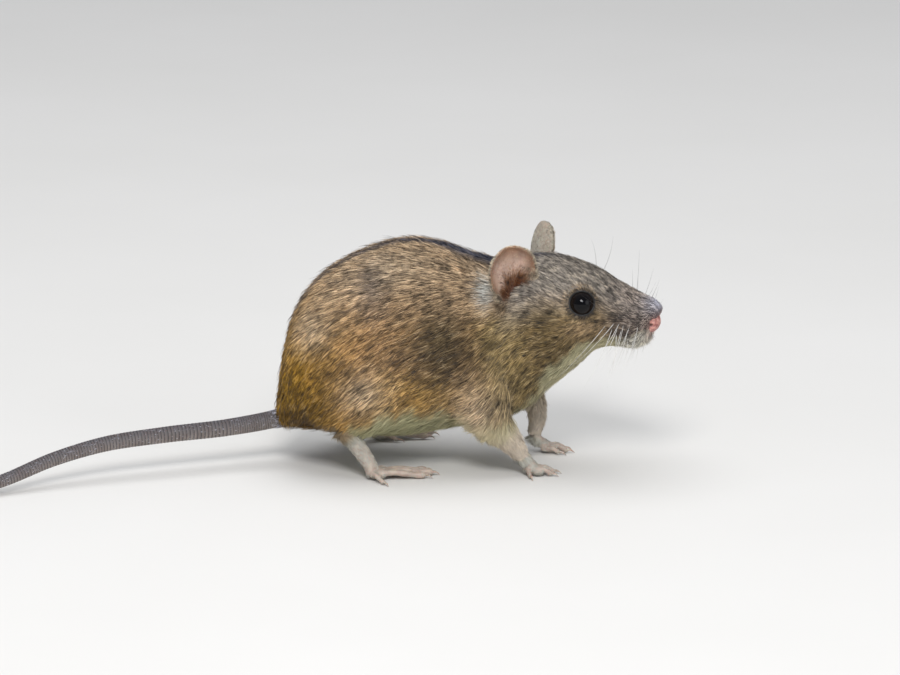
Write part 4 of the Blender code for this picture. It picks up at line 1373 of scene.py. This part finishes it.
def whisker_plans():
    """Whiskers of the left side, as in BROW_WHISKERS: rows on the pad, six on the chin, two on the brow.

    On the pad they are longer and thicker towards the back, dark in the upper rows and white below.
    """
    plans = []
    for x, z, row, column in WHISKER_ROOTS:
        low = float(row > 1)
        run = (0.30 - 0.12 * column - 0.20 * low, 0.95 - 0.45 * low, 0.75 - 0.45 * row - 0.60 * low)
        droop = (-0.15 - 0.25 * low, 0.1, 0.25 - 0.45 * low)
        length = 5.0 + (1.9 - 0.5 * low) * column
        plans.append(((x, 3.2, z), run, length, droop, 0.026 + 0.010 * low + 0.003 * column, 1.0 - low))
    for step in range(6):
        root = (29.6 - 0.8 * step, 1.8 + 0.2 * step, 22.4)
        plans.append((root, (-0.15 * step, 0.3, -1.0), 3.2 + 0.5 * step, (-0.3, 0.1, -0.4), 0.022, 0.0))
    return plans + list(BROW_WHISKERS)


def whisker_shell(root, start_run, length, droop, thickness):
    """A whisker: its direction turns evenly from the start towards the droop, and it tapers to a point."""
    share = np.linspace(0.0, 1.0, WHISKER_RINGS)
    run = unit(start_run + droop * share[:, None])
    walked = np.concatenate([np.zeros((1, 3)), np.cumsum(run[:-1], axis=0)])
    centre = root + walked * length / (WHISKER_RINGS - 1)
    return shell(round_rings(centre, thickness * (1.0 - WHISKER_TAPER * share), WHISKER_SIDES))


def make_whiskers(draws):
    """Each whisker stands at the skin's point nearest its planned root, turned with the head."""
    shells, darkness = [], []
    turn = spin_about("Z", HEAD_TURN)
    for side in SIDES.values():
        for place, run, length, droop, thickness, dark in whisker_plans():
            away = straight - np.array(place) * (1.0, side, 1.0)
            root = skin_points[np.linalg.norm(away, axis=1).argmin()]
            run = unit(np.array(run) * (1.0, side, 1.0)) + draws.normal(0.0, 0.09, 3)
            length *= draws.uniform(0.85, 1.15)
            shells.append(whisker_shell(root, turn @ run, length, turn @ droop, thickness))
            darkness.append(np.full((len(shells[-1][0]), 3), dark))
    points, faces = together(shells)
    return piece("whiskers", points, [faces], {"dark": np.concatenate(darkness)})


whiskers = make_whiskers(np.random.default_rng(5))
print("whiskers:", len(whiskers.data.polygons), "faces")

# %% [markdown]
# ## Tail
#
# A field mouse's tail is ringed with small overlapping scales, with short stiff hairs between them.
# The tube is carried along a curve in steps fine enough to raise each ring of scales, and each ring
# is scalloped and set half a scale round from the last. A bump could draw the rings, but raised
# ones also show along the tail's outline.

# %% The ringed tail
TAIL_LINE = (
    (-29.6, 0.4, 8.3), (-33.0, -0.6, 7.7), (-40.0, -3.0, 7.0), (-51.0, -7.0, 6.7), (-60.5, -10.6, 6.1),
    (-68.5, -14.4, 4.6), (-76.5, -19.2, 2.3), (-84.0, -23.6, 0.95), (-92.5, -27.2, 0.72),
    (-102.0, -29.0, 0.42),
)
TAIL_RADIUS, TAIL_TIP_RADIUS, TAIL_TAPER = 1.65, 0.45, 0.5
TAIL_SINK = 0.10  # depth of the skin under the solids' outline, which includes the short hairs
SCALE_RINGS, SCALES_ROUND = 165, 9
RING_PROFILE = np.array(((0.0, -0.030), (0.30, 0.004), (0.80, 0.026), (0.95, 0.018)))
TAIL_SIDES = 36


def tail_frame(share):
    """Centre, direction, sideways and upward vectors and radius at shares of the tail's way."""
    rows = share * (len(TAIL_LINE) - 1.0)
    centre = smooth_rows(TAIL_LINE, rows)
    run = unit(np.gradient(centre, axis=0))
    across = unit(np.cross(run, (0.0, 0.0, 1.0)))
    radius = TAIL_TIP_RADIUS + (TAIL_RADIUS - TAIL_TIP_RADIUS) * (1.0 - share) ** TAIL_TAPER
    return centre, run, across, np.cross(across, run), radius - TAIL_SINK


def make_tail():
    """Rings of scales: each profile rises towards the tip end of its scale, then steps down.

    The attribute tail_place holds the share of the way, the height round the tube and the profile.
    """
    turn, part = np.meshgrid(np.arange(SCALE_RINGS), RING_PROFILE[:, 0], indexing="ij")
    share = ((turn + part) / SCALE_RINGS).ravel()
    rise = np.tile(RING_PROFILE[:, 1], SCALE_RINGS)[:, None]
    centre, _, across, up, radius = tail_frame(share)
    around = circle(TAIL_SIDES)
    phase = SCALES_ROUND * around + math.pi * (turn.ravel() % 2)[:, None]
    swell = 1.0 + rise * (0.75 + 0.45 * np.cos(phase))
    tip = ease(1.0, 0.975, share)[:, None]
    size = radius[:, None] * swell * (0.25 + 0.75 * np.sqrt(tip))
    rings = centre[:, None] + size[..., None] * (
        across[:, None] * np.cos(around)[:, None] + up[:, None] * np.sin(around)[:, None])
    points, faces = shell(rings)
    points[:, 2] = np.maximum(points[:, 2], 0.0)
    place = np.stack(np.broadcast_arrays(share[:, None], np.sin(around), rise / 0.03), axis=-1)
    place = np.concatenate([place.reshape(-1, 3), ((0.0, 0.0, 0.0), (1.0, 0.0, 0.0))])
    made = piece("ringed_tail", points, [faces], {"tail_place": place})
    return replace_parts(made, "tail_1", "tail_2", "tail_3", "tail_4")


tail = make_tail()
print("tail:", len(tail.data.polygons), "faces")

# %% [markdown]
# ## Hair on the tail
#
# Short stiff hairs lie along the tail, longer where it leaves the rump and at its tip. They are
# blades like the coat's. Hairs drawn on the tail would be lighter, but would vanish at its outline.

# %% Hair on the tail
TAIL_HAIRS = 6500


def make_tail_hair(draws):
    """Short hairs that lie along the tail, a little longer at its root and its tip."""
    count = TAIL_HAIRS
    share = np.sort(0.02 + 0.98 * draws.random(count) ** 1.1)
    centre, run, across, up, radius = tail_frame(share)
    around = draws.uniform(0.0, 2.0 * math.pi, count)[:, None]
    normal = across * np.cos(around) + up * np.sin(around)
    length = 0.62 + 1.3 * ease(0.12, 0.0, share) + 0.5 * ease(0.9, 1.0, share)
    length *= draws.uniform(0.7, 1.2, count)
    width = 0.055 + 0.05 * ease(0.12, 0.0, share)
    root = centre + normal * radius[:, None] * 0.98
    lift = 0.30 + draws.normal(0, 0.06, count)
    roll = draws.normal(0.0, 0.4, count)
    no_gather = np.zeros((count, 3))
    blades = grow(root, normal, run, length, width, lift, 0.05, roll, no_gather, no_gather[:, 0])
    blades[..., 2] = np.maximum(blades[..., 2], 0.01)
    uv_root = np.column_stack([around[:, 0] / (2.0 * math.pi), share])
    masks = np.zeros((count, len(MASKS)))
    masks[:, NOSE_TOP] = 1.0  # the same pale grey
    strand = np.stack([draws.random(count), 0.0 * share], axis=-1)
    return coat_pieces("tail_hair", blades, uv_root, masks, strand, 1)[0]


tail_hair = make_tail_hair(np.random.default_rng(23))
print("hairs on the tail:", len(tail_hair.data.polygons) // 3)

# %% [markdown]
# ## Colour from the markings
#
# One node group starts with the flank's colour and lays each marking's colour over it by its mask.
# Skin and coat both use it. Each marking could be a material of its own, but then it would end at a
# hard border, where a mask fades.

# %% Helpers for shader nodes


def paint(red, green, blue):
    """A colour from screen values of 0 to 255, as linear light."""
    shown = np.array((red, green, blue)) / 255.0
    linear = np.where(shown > 0.04045, ((shown + 0.055) / 1.055) ** 2.4, shown / 12.92)
    return (*linear.tolist(), 1.0)


def put(tree, kind, inputs=None, **settings):
    """Adds a node. Its inputs are numbers, colours or other nodes' sockets, by name or number."""
    node = tree.nodes.new("ShaderNode" + kind)
    for key, value in settings.items():
        setattr(node, key, value)
    for key, value in (inputs or {}).items():
        if isinstance(value, bpy.types.NodeSocket):
            tree.links.new(value, node.inputs[key])
        else:
            node.inputs[key].default_value = value
    return node


def blend_colours(tree, share, first, second, how="MIX"):
    """A Mix node on colours: its inputs 0, 6 and 7 are the share, the first and the second."""
    return put(tree, "Mix", {0: share, 6: first, 7: second}, data_type="RGBA", blend_type=how).outputs[2]


def darken(tree, colour, shade):
    """A colour times a number at each place."""
    grey = put(tree, "CombineColor", {0: shade, 1: shade, 2: shade}).outputs[0]
    return blend_colours(tree, 1.0, colour, grey, "MULTIPLY")


def reckon(tree, how, first, second):
    """A Math node on two numbers."""
    return put(tree, "Math", {0: first, 1: second}, operation=how).outputs[0]


def spread(tree, value, low, high, start=0.0, end=1.0):
    """Maps a value between start and end to between low and high."""
    inputs = {"Value": value, "From Min": start, "From Max": end, "To Min": low, "To Max": high}
    return put(tree, "MapRange", inputs).outputs[0]


def attribute(tree, name):
    """The three numbers of a vector attribute of the piece."""
    vector = put(tree, "Attribute", attribute_name=name).outputs["Vector"]
    return put(tree, "SeparateXYZ", {0: vector}).outputs


def on_object(tree):
    """The place on the piece, in metres."""
    return put(tree, "TexCoord").outputs["Object"]


def noise(tree, place, scale, detail=3.0):
    """Noise between 0 and 1 at so many lumps a metre."""
    inputs = {"Vector": place, "Scale": scale, "Detail": detail, "Roughness": 0.55}
    return put(tree, "TexNoise", inputs).outputs["Fac"]


def noise_range(tree, value, low, high):
    """Noise spread from low to high over the middle of its range, where nearly all of it lies."""
    return spread(tree, value, low, high, 0.3, 0.7)


def cells(tree, place, scale, feature="F1"):
    """Distances within the cells of a Voronoi pattern."""
    return put(tree, "TexVoronoi", {"Vector": place, "Scale": scale}, feature=feature).outputs["Distance"]


def new_group(name, takes, gives):
    """An empty node group: its named inputs with their defaults, and its named outputs."""
    tree = bpy.data.node_groups.new(name, "ShaderNodeTree")
    for key, (kind, value) in takes.items():
        socket = tree.interface.new_socket(key, in_out="INPUT", socket_type="NodeSocket" + kind)
        socket.default_value = value
    for key, kind in gives.items():
        tree.interface.new_socket(key, in_out="OUTPUT", socket_type="NodeSocket" + kind)
    return tree, tree.nodes.new("NodeGroupInput").outputs, tree.nodes.new("NodeGroupOutput").inputs


# %% The group of markings
FLANK = (168, 131, 88)
HAIR_COLOURS = {
    "rump": (158, 118, 18), "low_flank": (196, 154, 84), "shoulder": (84, 72, 49),
    "neck_side": (146, 124, 80), "cheek": (119, 99, 63), "crown": (149, 140, 129),
    # the pale back colour is partly the coat's own tone and partly painted sheen from above
    "muzzle": (148, 136, 126), "back": (188, 162, 130), "stripe": (62, 64, 78),
    "belly": (178, 175, 136), "throat": (186, 179, 144), "leg": (206, 193, 176),
    "eye_ring": (164, 138, 104), "lid": (30, 27, 26), "ear_tuft": (210, 208, 200),
    "chin": (196, 192, 180), "nose_top": (188, 188, 200), "spot": (58, 44, 40),
    "foot": (182, 180, 170), "ear": (168, 165, 151), "nose_skin": (170, 124, 114),
    "ear_inner": (140, 108, 84), "ear_low": (94, 48, 8), "ear_edge": (180, 166, 144),
    # the deep ochre low on the haunch's rear is painted shade
    "haunch_low": (88, 62, 8), "pale": (212, 190, 160), "dusk": (92, 86, 86),
}
PLAIN_HAIR = ("belly", "throat", "leg", "ear_tuft", "foot")
SKIN_COLOURS = {
    "muzzle": (64, 46, 42), "lid": (16, 14, 14), "foot": (180, 165, 152),
    "ear": (174, 168, 154), "nose_skin": (150, 98, 92),
    "ear_inner": (186, 160, 144), "ear_low": (84, 40, 10), "ear_edge": (142, 108, 84),
}


def markings_group():
    """Lays each marking's colour over the flank's in turn; Bare turns hair colours to skin's.

    Plain is 1 where the hair is of one pale colour: below, on the legs and on the feet.
    """
    puts_out = {"Colour": "Color", "Plain": "Float"}
    tree, takes, gives = new_group("markings", {"Bare": ("Float", 0.0)}, puts_out)
    colour = paint(*FLANK)
    plain = 0.0
    for number, (name, hair) in enumerate(HAIR_COLOURS.items()):
        if number % 3 == 0:
            masks = attribute(tree, f"marks_{number // 3 + 1}")
        over = paint(*hair)
        if name in SKIN_COLOURS:
            over = blend_colours(tree, takes["Bare"], over, paint(*SKIN_COLOURS[name]))
        colour = blend_colours(tree, masks[number % 3], colour, over)
        if name in PLAIN_HAIR:
            plain = reckon(tree, "MAXIMUM", masks[number % 3], plain)
    tree.links.new(colour, gives["Colour"])
    tree.links.new(plain, gives["Plain"])
    return tree


assert list(HAIR_COLOURS) == list(MASKS), "each marking needs its colour, in the same order"
markings = markings_group()
print("markings group:", len(markings.nodes), "nodes")

# %% [markdown]
# ## Ticked hair
#
# The hairs of a wild mouse are grey at the root and buff or dark at the tip, which makes its coat
# look ticked. A second group gives each tuft its own tone from numbers stored on its points. A fine
# noise could imitate this, but its grain would not follow the hairs.

# %% The group of ticked hair
DARK_HAIR = paint(34, 29, 28)
ROOT_GREY = paint(62, 60, 62)
BUFF_TIP = paint(206, 188, 156)


def ticking_group():
    """Tones a tuft: its own brightness, slow patches, buff where brightest, grey root, dark guard hairs."""
    takes = {"Colour": ("Color", (0.3, 0.2, 0.1, 1.0)), "Plain": ("Float", 0.0)}
    tree, takes, gives = new_group("ticking", takes, {"Colour": "Color", "Roughness": "Float"})
    share, tone, guard = attribute(tree, "strand")
    place = on_object(tree)
    patches = noise(tree, place, 130.0, 2.0)
    fine = noise(tree, place, 900.0, 2.0)
    tone = reckon(tree, "ADD", tone, noise_range(tree, fine, -0.22, 0.22))
    bright = spread(tree, tone, 0.14, 1.90)
    bright = reckon(tree, "MULTIPLY", bright, noise_range(tree, patches, 0.80, 1.20))
    bright = spread(tree, takes["Plain"], bright, spread(tree, tone, 0.80, 1.16))
    colour = darken(tree, takes["Colour"], bright)
    colour = blend_colours(tree, spread(tree, tone, 0.0, 0.36, 0.72, 1.05), colour, BUFF_TIP)
    root = spread(tree, share, 0.75, 0.0, 0.0, 0.5)
    root = reckon(tree, "MULTIPLY", root, spread(tree, takes["Plain"], 1.0, 0.25))
    colour = blend_colours(tree, root, colour, ROOT_GREY)
    dark = reckon(tree, "MULTIPLY", guard, spread(tree, share, 0.25, 0.78, 0.2, 0.7))
    colour = blend_colours(tree, dark, colour, DARK_HAIR)
    tree.links.new(colour, gives["Colour"])
    tree.links.new(noise_range(tree, fine, 0.46, 0.66), gives["Roughness"])
    return tree


ticking = ticking_group()
print("ticking group:", len(ticking.nodes), "nodes")

# %% [markdown]
# ## Finishes
#
# Every finish is one Principled shader. What is the same all over is set on its sockets, and what
# changes from place to place is linked to them. Painted images could carry such detail, but noise
# and the pieces' own attributes stay sharp from close by.

# %% Helpers for materials


def new_material(name, **fixed):
    """A material with its Principled shader, and the sockets that stay the same all over."""
    made = bpy.data.materials.new(name)
    made.use_nodes = True
    shader = made.node_tree.nodes["Principled BSDF"]
    for key, value in fixed.items():
        shader.inputs[key.replace("_", " ").title().replace("Ior", "IOR")].default_value = value
    return made, made.node_tree, shader


def connect(tree, shader, **sockets):
    """Links sockets to the shader's inputs by name."""
    for key, value in sockets.items():
        tree.links.new(value, shader.inputs[key.replace("_", " ").title()])


def bump(tree, height, strength, distance):
    """A Bump node: height in, normal out."""
    inputs = {"Height": height, "Strength": strength, "Distance": distance}
    return put(tree, "Bump", inputs).outputs["Normal"]


def dress(material, *pieces):
    """Gives each piece its one material."""
    for item in pieces:
        item.data.materials.clear()
        item.data.materials.append(material)
    print(material.name, "on", len(pieces), "pieces, from", pieces[0].name)


# %% [markdown]
# ## Finish of coat and skin
#
# Hair has a soft broad shine, so its shader stays rather rough and has a little sheen. Bare skin is
# thin: a little light passes through it, and fine creases and veins show. The skin under the coat
# is the same material, only darker there, so that no pale ground gleams between the tufts.

# %% Coat and skin


def coat_material():
    """Ticked hair in the markings' colours."""
    made, tree, shader = new_material("fur", specular_ior_level=0.32, sheen_weight=0.10, sheen_roughness=0.4)
    marked = put(tree, "Group", {"Bare": 0.0}, node_tree=markings).outputs
    hair = put(tree, "Group", dict(marked.items()), node_tree=ticking).outputs
    connect(tree, shader, base_color=hair["Colour"], roughness=hair["Roughness"])
    return made


def skin_material():
    """Dark undercoat where hair grows; bare skin with creases and fine veins elsewhere."""
    made, tree, shader = new_material("skin", specular_ior_level=0.4, subsurface_weight=0.10,
                                      subsurface_scale=0.0012)
    colour = put(tree, "Group", {"Bare": 1.0}, node_tree=markings).outputs["Colour"]
    place = on_object(tree)
    patches = noise(tree, place, 420.0, 4.0)
    foot, ear, nose = attribute(tree, f"marks_{list(MASKS).index('foot') // 3 + 1}")
    bare = reckon(tree, "MAXIMUM", reckon(tree, "MAXIMUM", foot, ear), nose)
    depth = spread(tree, bare, 0.50, 1.0)
    shade = reckon(tree, "MULTIPLY", depth, noise_range(tree, patches, 0.74, 1.20))
    colour = darken(tree, colour, shade)
    bend = put(tree, "TexNoise", {"Vector": place, "Scale": 300.0}).outputs["Color"]
    shift = put(tree, "VectorMath", {0: bend, "Scale": 0.004}, operation="SCALE").outputs[0]
    bent = put(tree, "VectorMath", {0: place, 1: shift}, operation="ADD").outputs[0]
    veins = spread(tree, cells(tree, bent, 420.0, "DISTANCE_TO_EDGE"), 0.22, 0.0, 0.0, 0.10)
    colour = blend_colours(tree, reckon(tree, "MULTIPLY", veins, bare), colour, paint(120, 72, 66))
    creases = reckon(tree, "ADD", cells(tree, place, 3800.0), patches)
    connect(tree, shader, base_color=colour, roughness=noise_range(tree, patches, 0.42, 0.62),
            normal=bump(tree, creases, 0.35, 0.0001))
    return made


dress(coat_material(), *coat, tail_hair)
dress(skin_material(), skin)

# %% [markdown]
# ## Finish of eyes and nose
#
# An eye is wet and the glossiest surface of all. The nose is moist, pink and pebbled. Its pebbles
# could be raised in the mesh, but they are so small that a bump is enough.

# %% Eyes and nose


def eye_material():
    """Almost black and wet, with a brown ring towards the rim."""
    made, tree, shader = new_material("wet_eye", roughness=0.03, specular_ior_level=0.16, coat_weight=0.10,
                                      coat_roughness=0.015)
    ring = spread(tree, attribute(tree, "from_axis")[0], 0.0, 1.0, 0.45, 1.15)
    rays = noise_range(tree, noise(tree, on_object(tree), 2200.0, 4.0), 0.3, 1.0)
    brown = reckon(tree, "MULTIPLY", ring, rays)
    connect(tree, shader, base_color=blend_colours(tree, brown, paint(3, 3, 5), paint(26, 18, 15)))
    return made


def nose_material():
    """Moist pink skin, pebbled, with painted shade inside the nostrils."""
    made, tree, shader = new_material("nose_pad_skin", specular_ior_level=0.5, subsurface_weight=0.18,
                                      subsurface_scale=0.001)
    place = on_object(tree)
    pebbles = cells(tree, place, 4200.0, "SMOOTH_F1")
    patches = noise(tree, place, 1100.0)
    flush = spread(tree, patches, 0.0, 1.0, 0.38, 0.62)
    colour = blend_colours(tree, flush, paint(208, 152, 140), paint(140, 78, 72))
    colour = blend_colours(tree, spread(tree, pebbles, 0.0, 0.6, 0.3, 0.8), colour, paint(112, 70, 68))
    # painted shade: the nostrils' hollows darkened to deep maroon
    inside = spread(tree, attribute(tree, "nostril")[0], 0.0, 1.0, 0.30, 0.85)
    colour = blend_colours(tree, inside, colour, paint(74, 36, 34))
    connect(tree, shader, base_color=colour, roughness=noise_range(tree, patches, 0.28, 0.48),
            normal=bump(tree, reckon(tree, "MULTIPLY", pebbles, -1.0), 0.5, 0.00012))
    return made


dress(eye_material(), *eyes)
dress(nose_material(), nose_pad)

# %% [markdown]
# ## Finish of claws and whiskers
#
# Claws are horn, glossy and half clear. Whiskers are bristle, dark in the upper rows and white
# below. Two materials could serve for them, but an attribute on each whisker lets one do.

# %% Claws and whiskers


def horn_material():
    """Pale horn, a little darker and rougher in small patches."""
    made, tree, shader = new_material("horn", specular_ior_level=0.5, subsurface_weight=0.2,
                                      subsurface_scale=0.0006)
    patches = noise(tree, on_object(tree), 1800.0)
    dark = noise_range(tree, patches, 0.0, 1.0)
    colour = blend_colours(tree, dark, paint(196, 184, 170), paint(146, 126, 112))
    connect(tree, shader, base_color=colour, roughness=noise_range(tree, patches, 0.22, 0.38),
            normal=bump(tree, patches, 0.2, 0.00005))
    return made


def whisker_material():
    """White bristle, greyer in places; the upper whiskers are dark."""
    made, tree, shader = new_material("bristle", specular_ior_level=0.5)
    patches = noise(tree, on_object(tree), 260.0, 2.0)
    grey = spread(tree, patches, 0.0, 0.6, 0.45, 0.65)
    colour = blend_colours(tree, grey, paint(232, 230, 226), paint(160, 152, 144))
    colour = blend_colours(tree, attribute(tree, "dark")[0], colour, paint(52, 46, 42))
    connect(tree, shader, base_color=colour, roughness=noise_range(tree, patches, 0.3, 0.45))
    return made


dress(horn_material(), claws)
dress(whisker_material(), whiskers)

# %% [markdown]
# ## Finish of tail and floor
#
# The tail's skin is grey brown above, paler below and darkest between the rings. A striped pattern
# could imitate the rings, but the height round the tube and the rings' profile are stored on its
# points, so the colour follows every raised ring. The floor stays plain and matt.

# %% Tail and floor


def tail_material():
    """Scales in rings: grey brown above, paler below, dark between the rings."""
    made, tree, shader = new_material("scaled_tail", specular_ior_level=0.4, subsurface_weight=0.06,
                                      subsurface_scale=0.0008)
    _, upward, ringed = attribute(tree, "tail_place")
    place = on_object(tree)
    patches = noise(tree, place, 500.0, 4.0)
    above = spread(tree, upward, 0.0, 1.0, -0.7, 0.6)
    colour = blend_colours(tree, above, paint(146, 136, 130), paint(92, 88, 90))
    colour = blend_colours(tree, spread(tree, patches, 0.0, 0.5, 0.35, 0.7), colour, paint(84, 74, 70))
    colour = blend_colours(tree, spread(tree, ringed, 0.85, 0.0, -0.8, 0.6), colour, paint(44, 38, 42))
    connect(tree, shader, base_color=colour, roughness=noise_range(tree, patches, 0.46, 0.62),
            normal=bump(tree, noise(tree, place, 5200.0, 2.0), 0.3, 0.00006))
    return made


def floor_material():
    """A plain pale floor, only just uneven in tone."""
    made, tree, shader = new_material("pale_floor", specular_ior_level=0.2)
    patches = noise(tree, on_object(tree), 9.0, 4.0)
    colour = blend_colours(tree, patches, paint(214, 212, 208), paint(222, 220, 217))
    connect(tree, shader, base_color=colour, roughness=spread(tree, patches, 0.75, 0.85))
    return made


dress(tail_material(), tail)

# %% [markdown]
# ## Floor, light and camera
#
# The mouse stands on a plain pale floor under broad soft lights, the largest one overhead. The
# camera has a long lens and looks slightly down on the animal's right side.

# %% Floor
FLOOR_RADIUS = 4.0
edge = circle(96)
rim = np.column_stack([FLOOR_RADIUS * np.cos(edge), FLOOR_RADIUS * np.sin(edge), 0.0 * edge])
mesh = bpy.data.meshes.new("floor")
mesh.from_pydata(rim.tolist(), [], [list(range(len(edge)))])
floor = bpy.data.objects.new("floor", mesh)
bpy.context.scene.collection.objects.link(floor)
dress(floor_material(), floor)

# %% Lights
CAMERA_TARGET = np.array((31.83, 4.67, 21.65)) * MM
WORLD_COLOUR, WORLD_STRENGTH = (0.90, 0.93, 1.0, 1.0), 0.36
LIGHTS = (
    # name, place in metres, size in metres, watts, colour
    ("overhead", (-0.05, 0.05, 0.85), 0.9, 4.7, (0.96, 0.98, 1.0)),
    ("key", (-0.04, -0.64, 0.60), 0.28, 4.0, (1.0, 0.985, 0.97)),
    ("window", (0.12, -0.68, 0.50), 0.20, 1.3, (0.90, 0.95, 1.0)),
    ("fill", (0.75, -0.45, 0.25), 0.6, 1.3, (0.97, 0.98, 1.0)),
)


def aim(item, place, target):
    """Puts an object at a place with its view along minus z pointing at the target."""
    item.location = place
    item.rotation_euler = Vector(target - np.asarray(place)).to_track_quat("-Z", "Y").to_euler()
    bpy.context.scene.collection.objects.link(item)


for name, place, size, watts, colour in LIGHTS:
    lamp = bpy.data.lights.new(name, "AREA")
    lamp.shape = "DISK"
    lamp.size = size
    lamp.energy = watts
    lamp.color = colour
    holder = bpy.data.objects.new(name, lamp)
    holder.visible_glossy = name != "overhead"  # its broad disc would lie grey over the wet eyes
    aim(holder, place, CAMERA_TARGET)

world = bpy.data.worlds.new("studio")
world.use_nodes = True
bpy.context.scene.world = world
background = world.node_tree.nodes["Background"]
background.inputs["Color"].default_value = WORLD_COLOUR
background.inputs["Strength"].default_value = WORLD_STRENGTH
bpy.context.scene.view_settings.view_transform = "Standard"
print("lights:", ", ".join(light[0] for light in LIGHTS))

# %% Camera
LENS, CAMERA_DISTANCE, CAMERA_HEIGHT_ANGLE = 200.0, 0.8333, math.radians(14.0)
lens = bpy.data.cameras.new("camera")
lens.lens = LENS
lens.clip_start = 0.01
camera = bpy.data.objects.new("camera", lens)
back = np.array((0.0, -math.cos(CAMERA_HEIGHT_ANGLE), math.sin(CAMERA_HEIGHT_ANGLE)))
aim(camera, CAMERA_TARGET + back * CAMERA_DISTANCE, CAMERA_TARGET)
bpy.context.scene.camera = camera
print("camera at", tuple(round(value, 4) for value in camera.location))
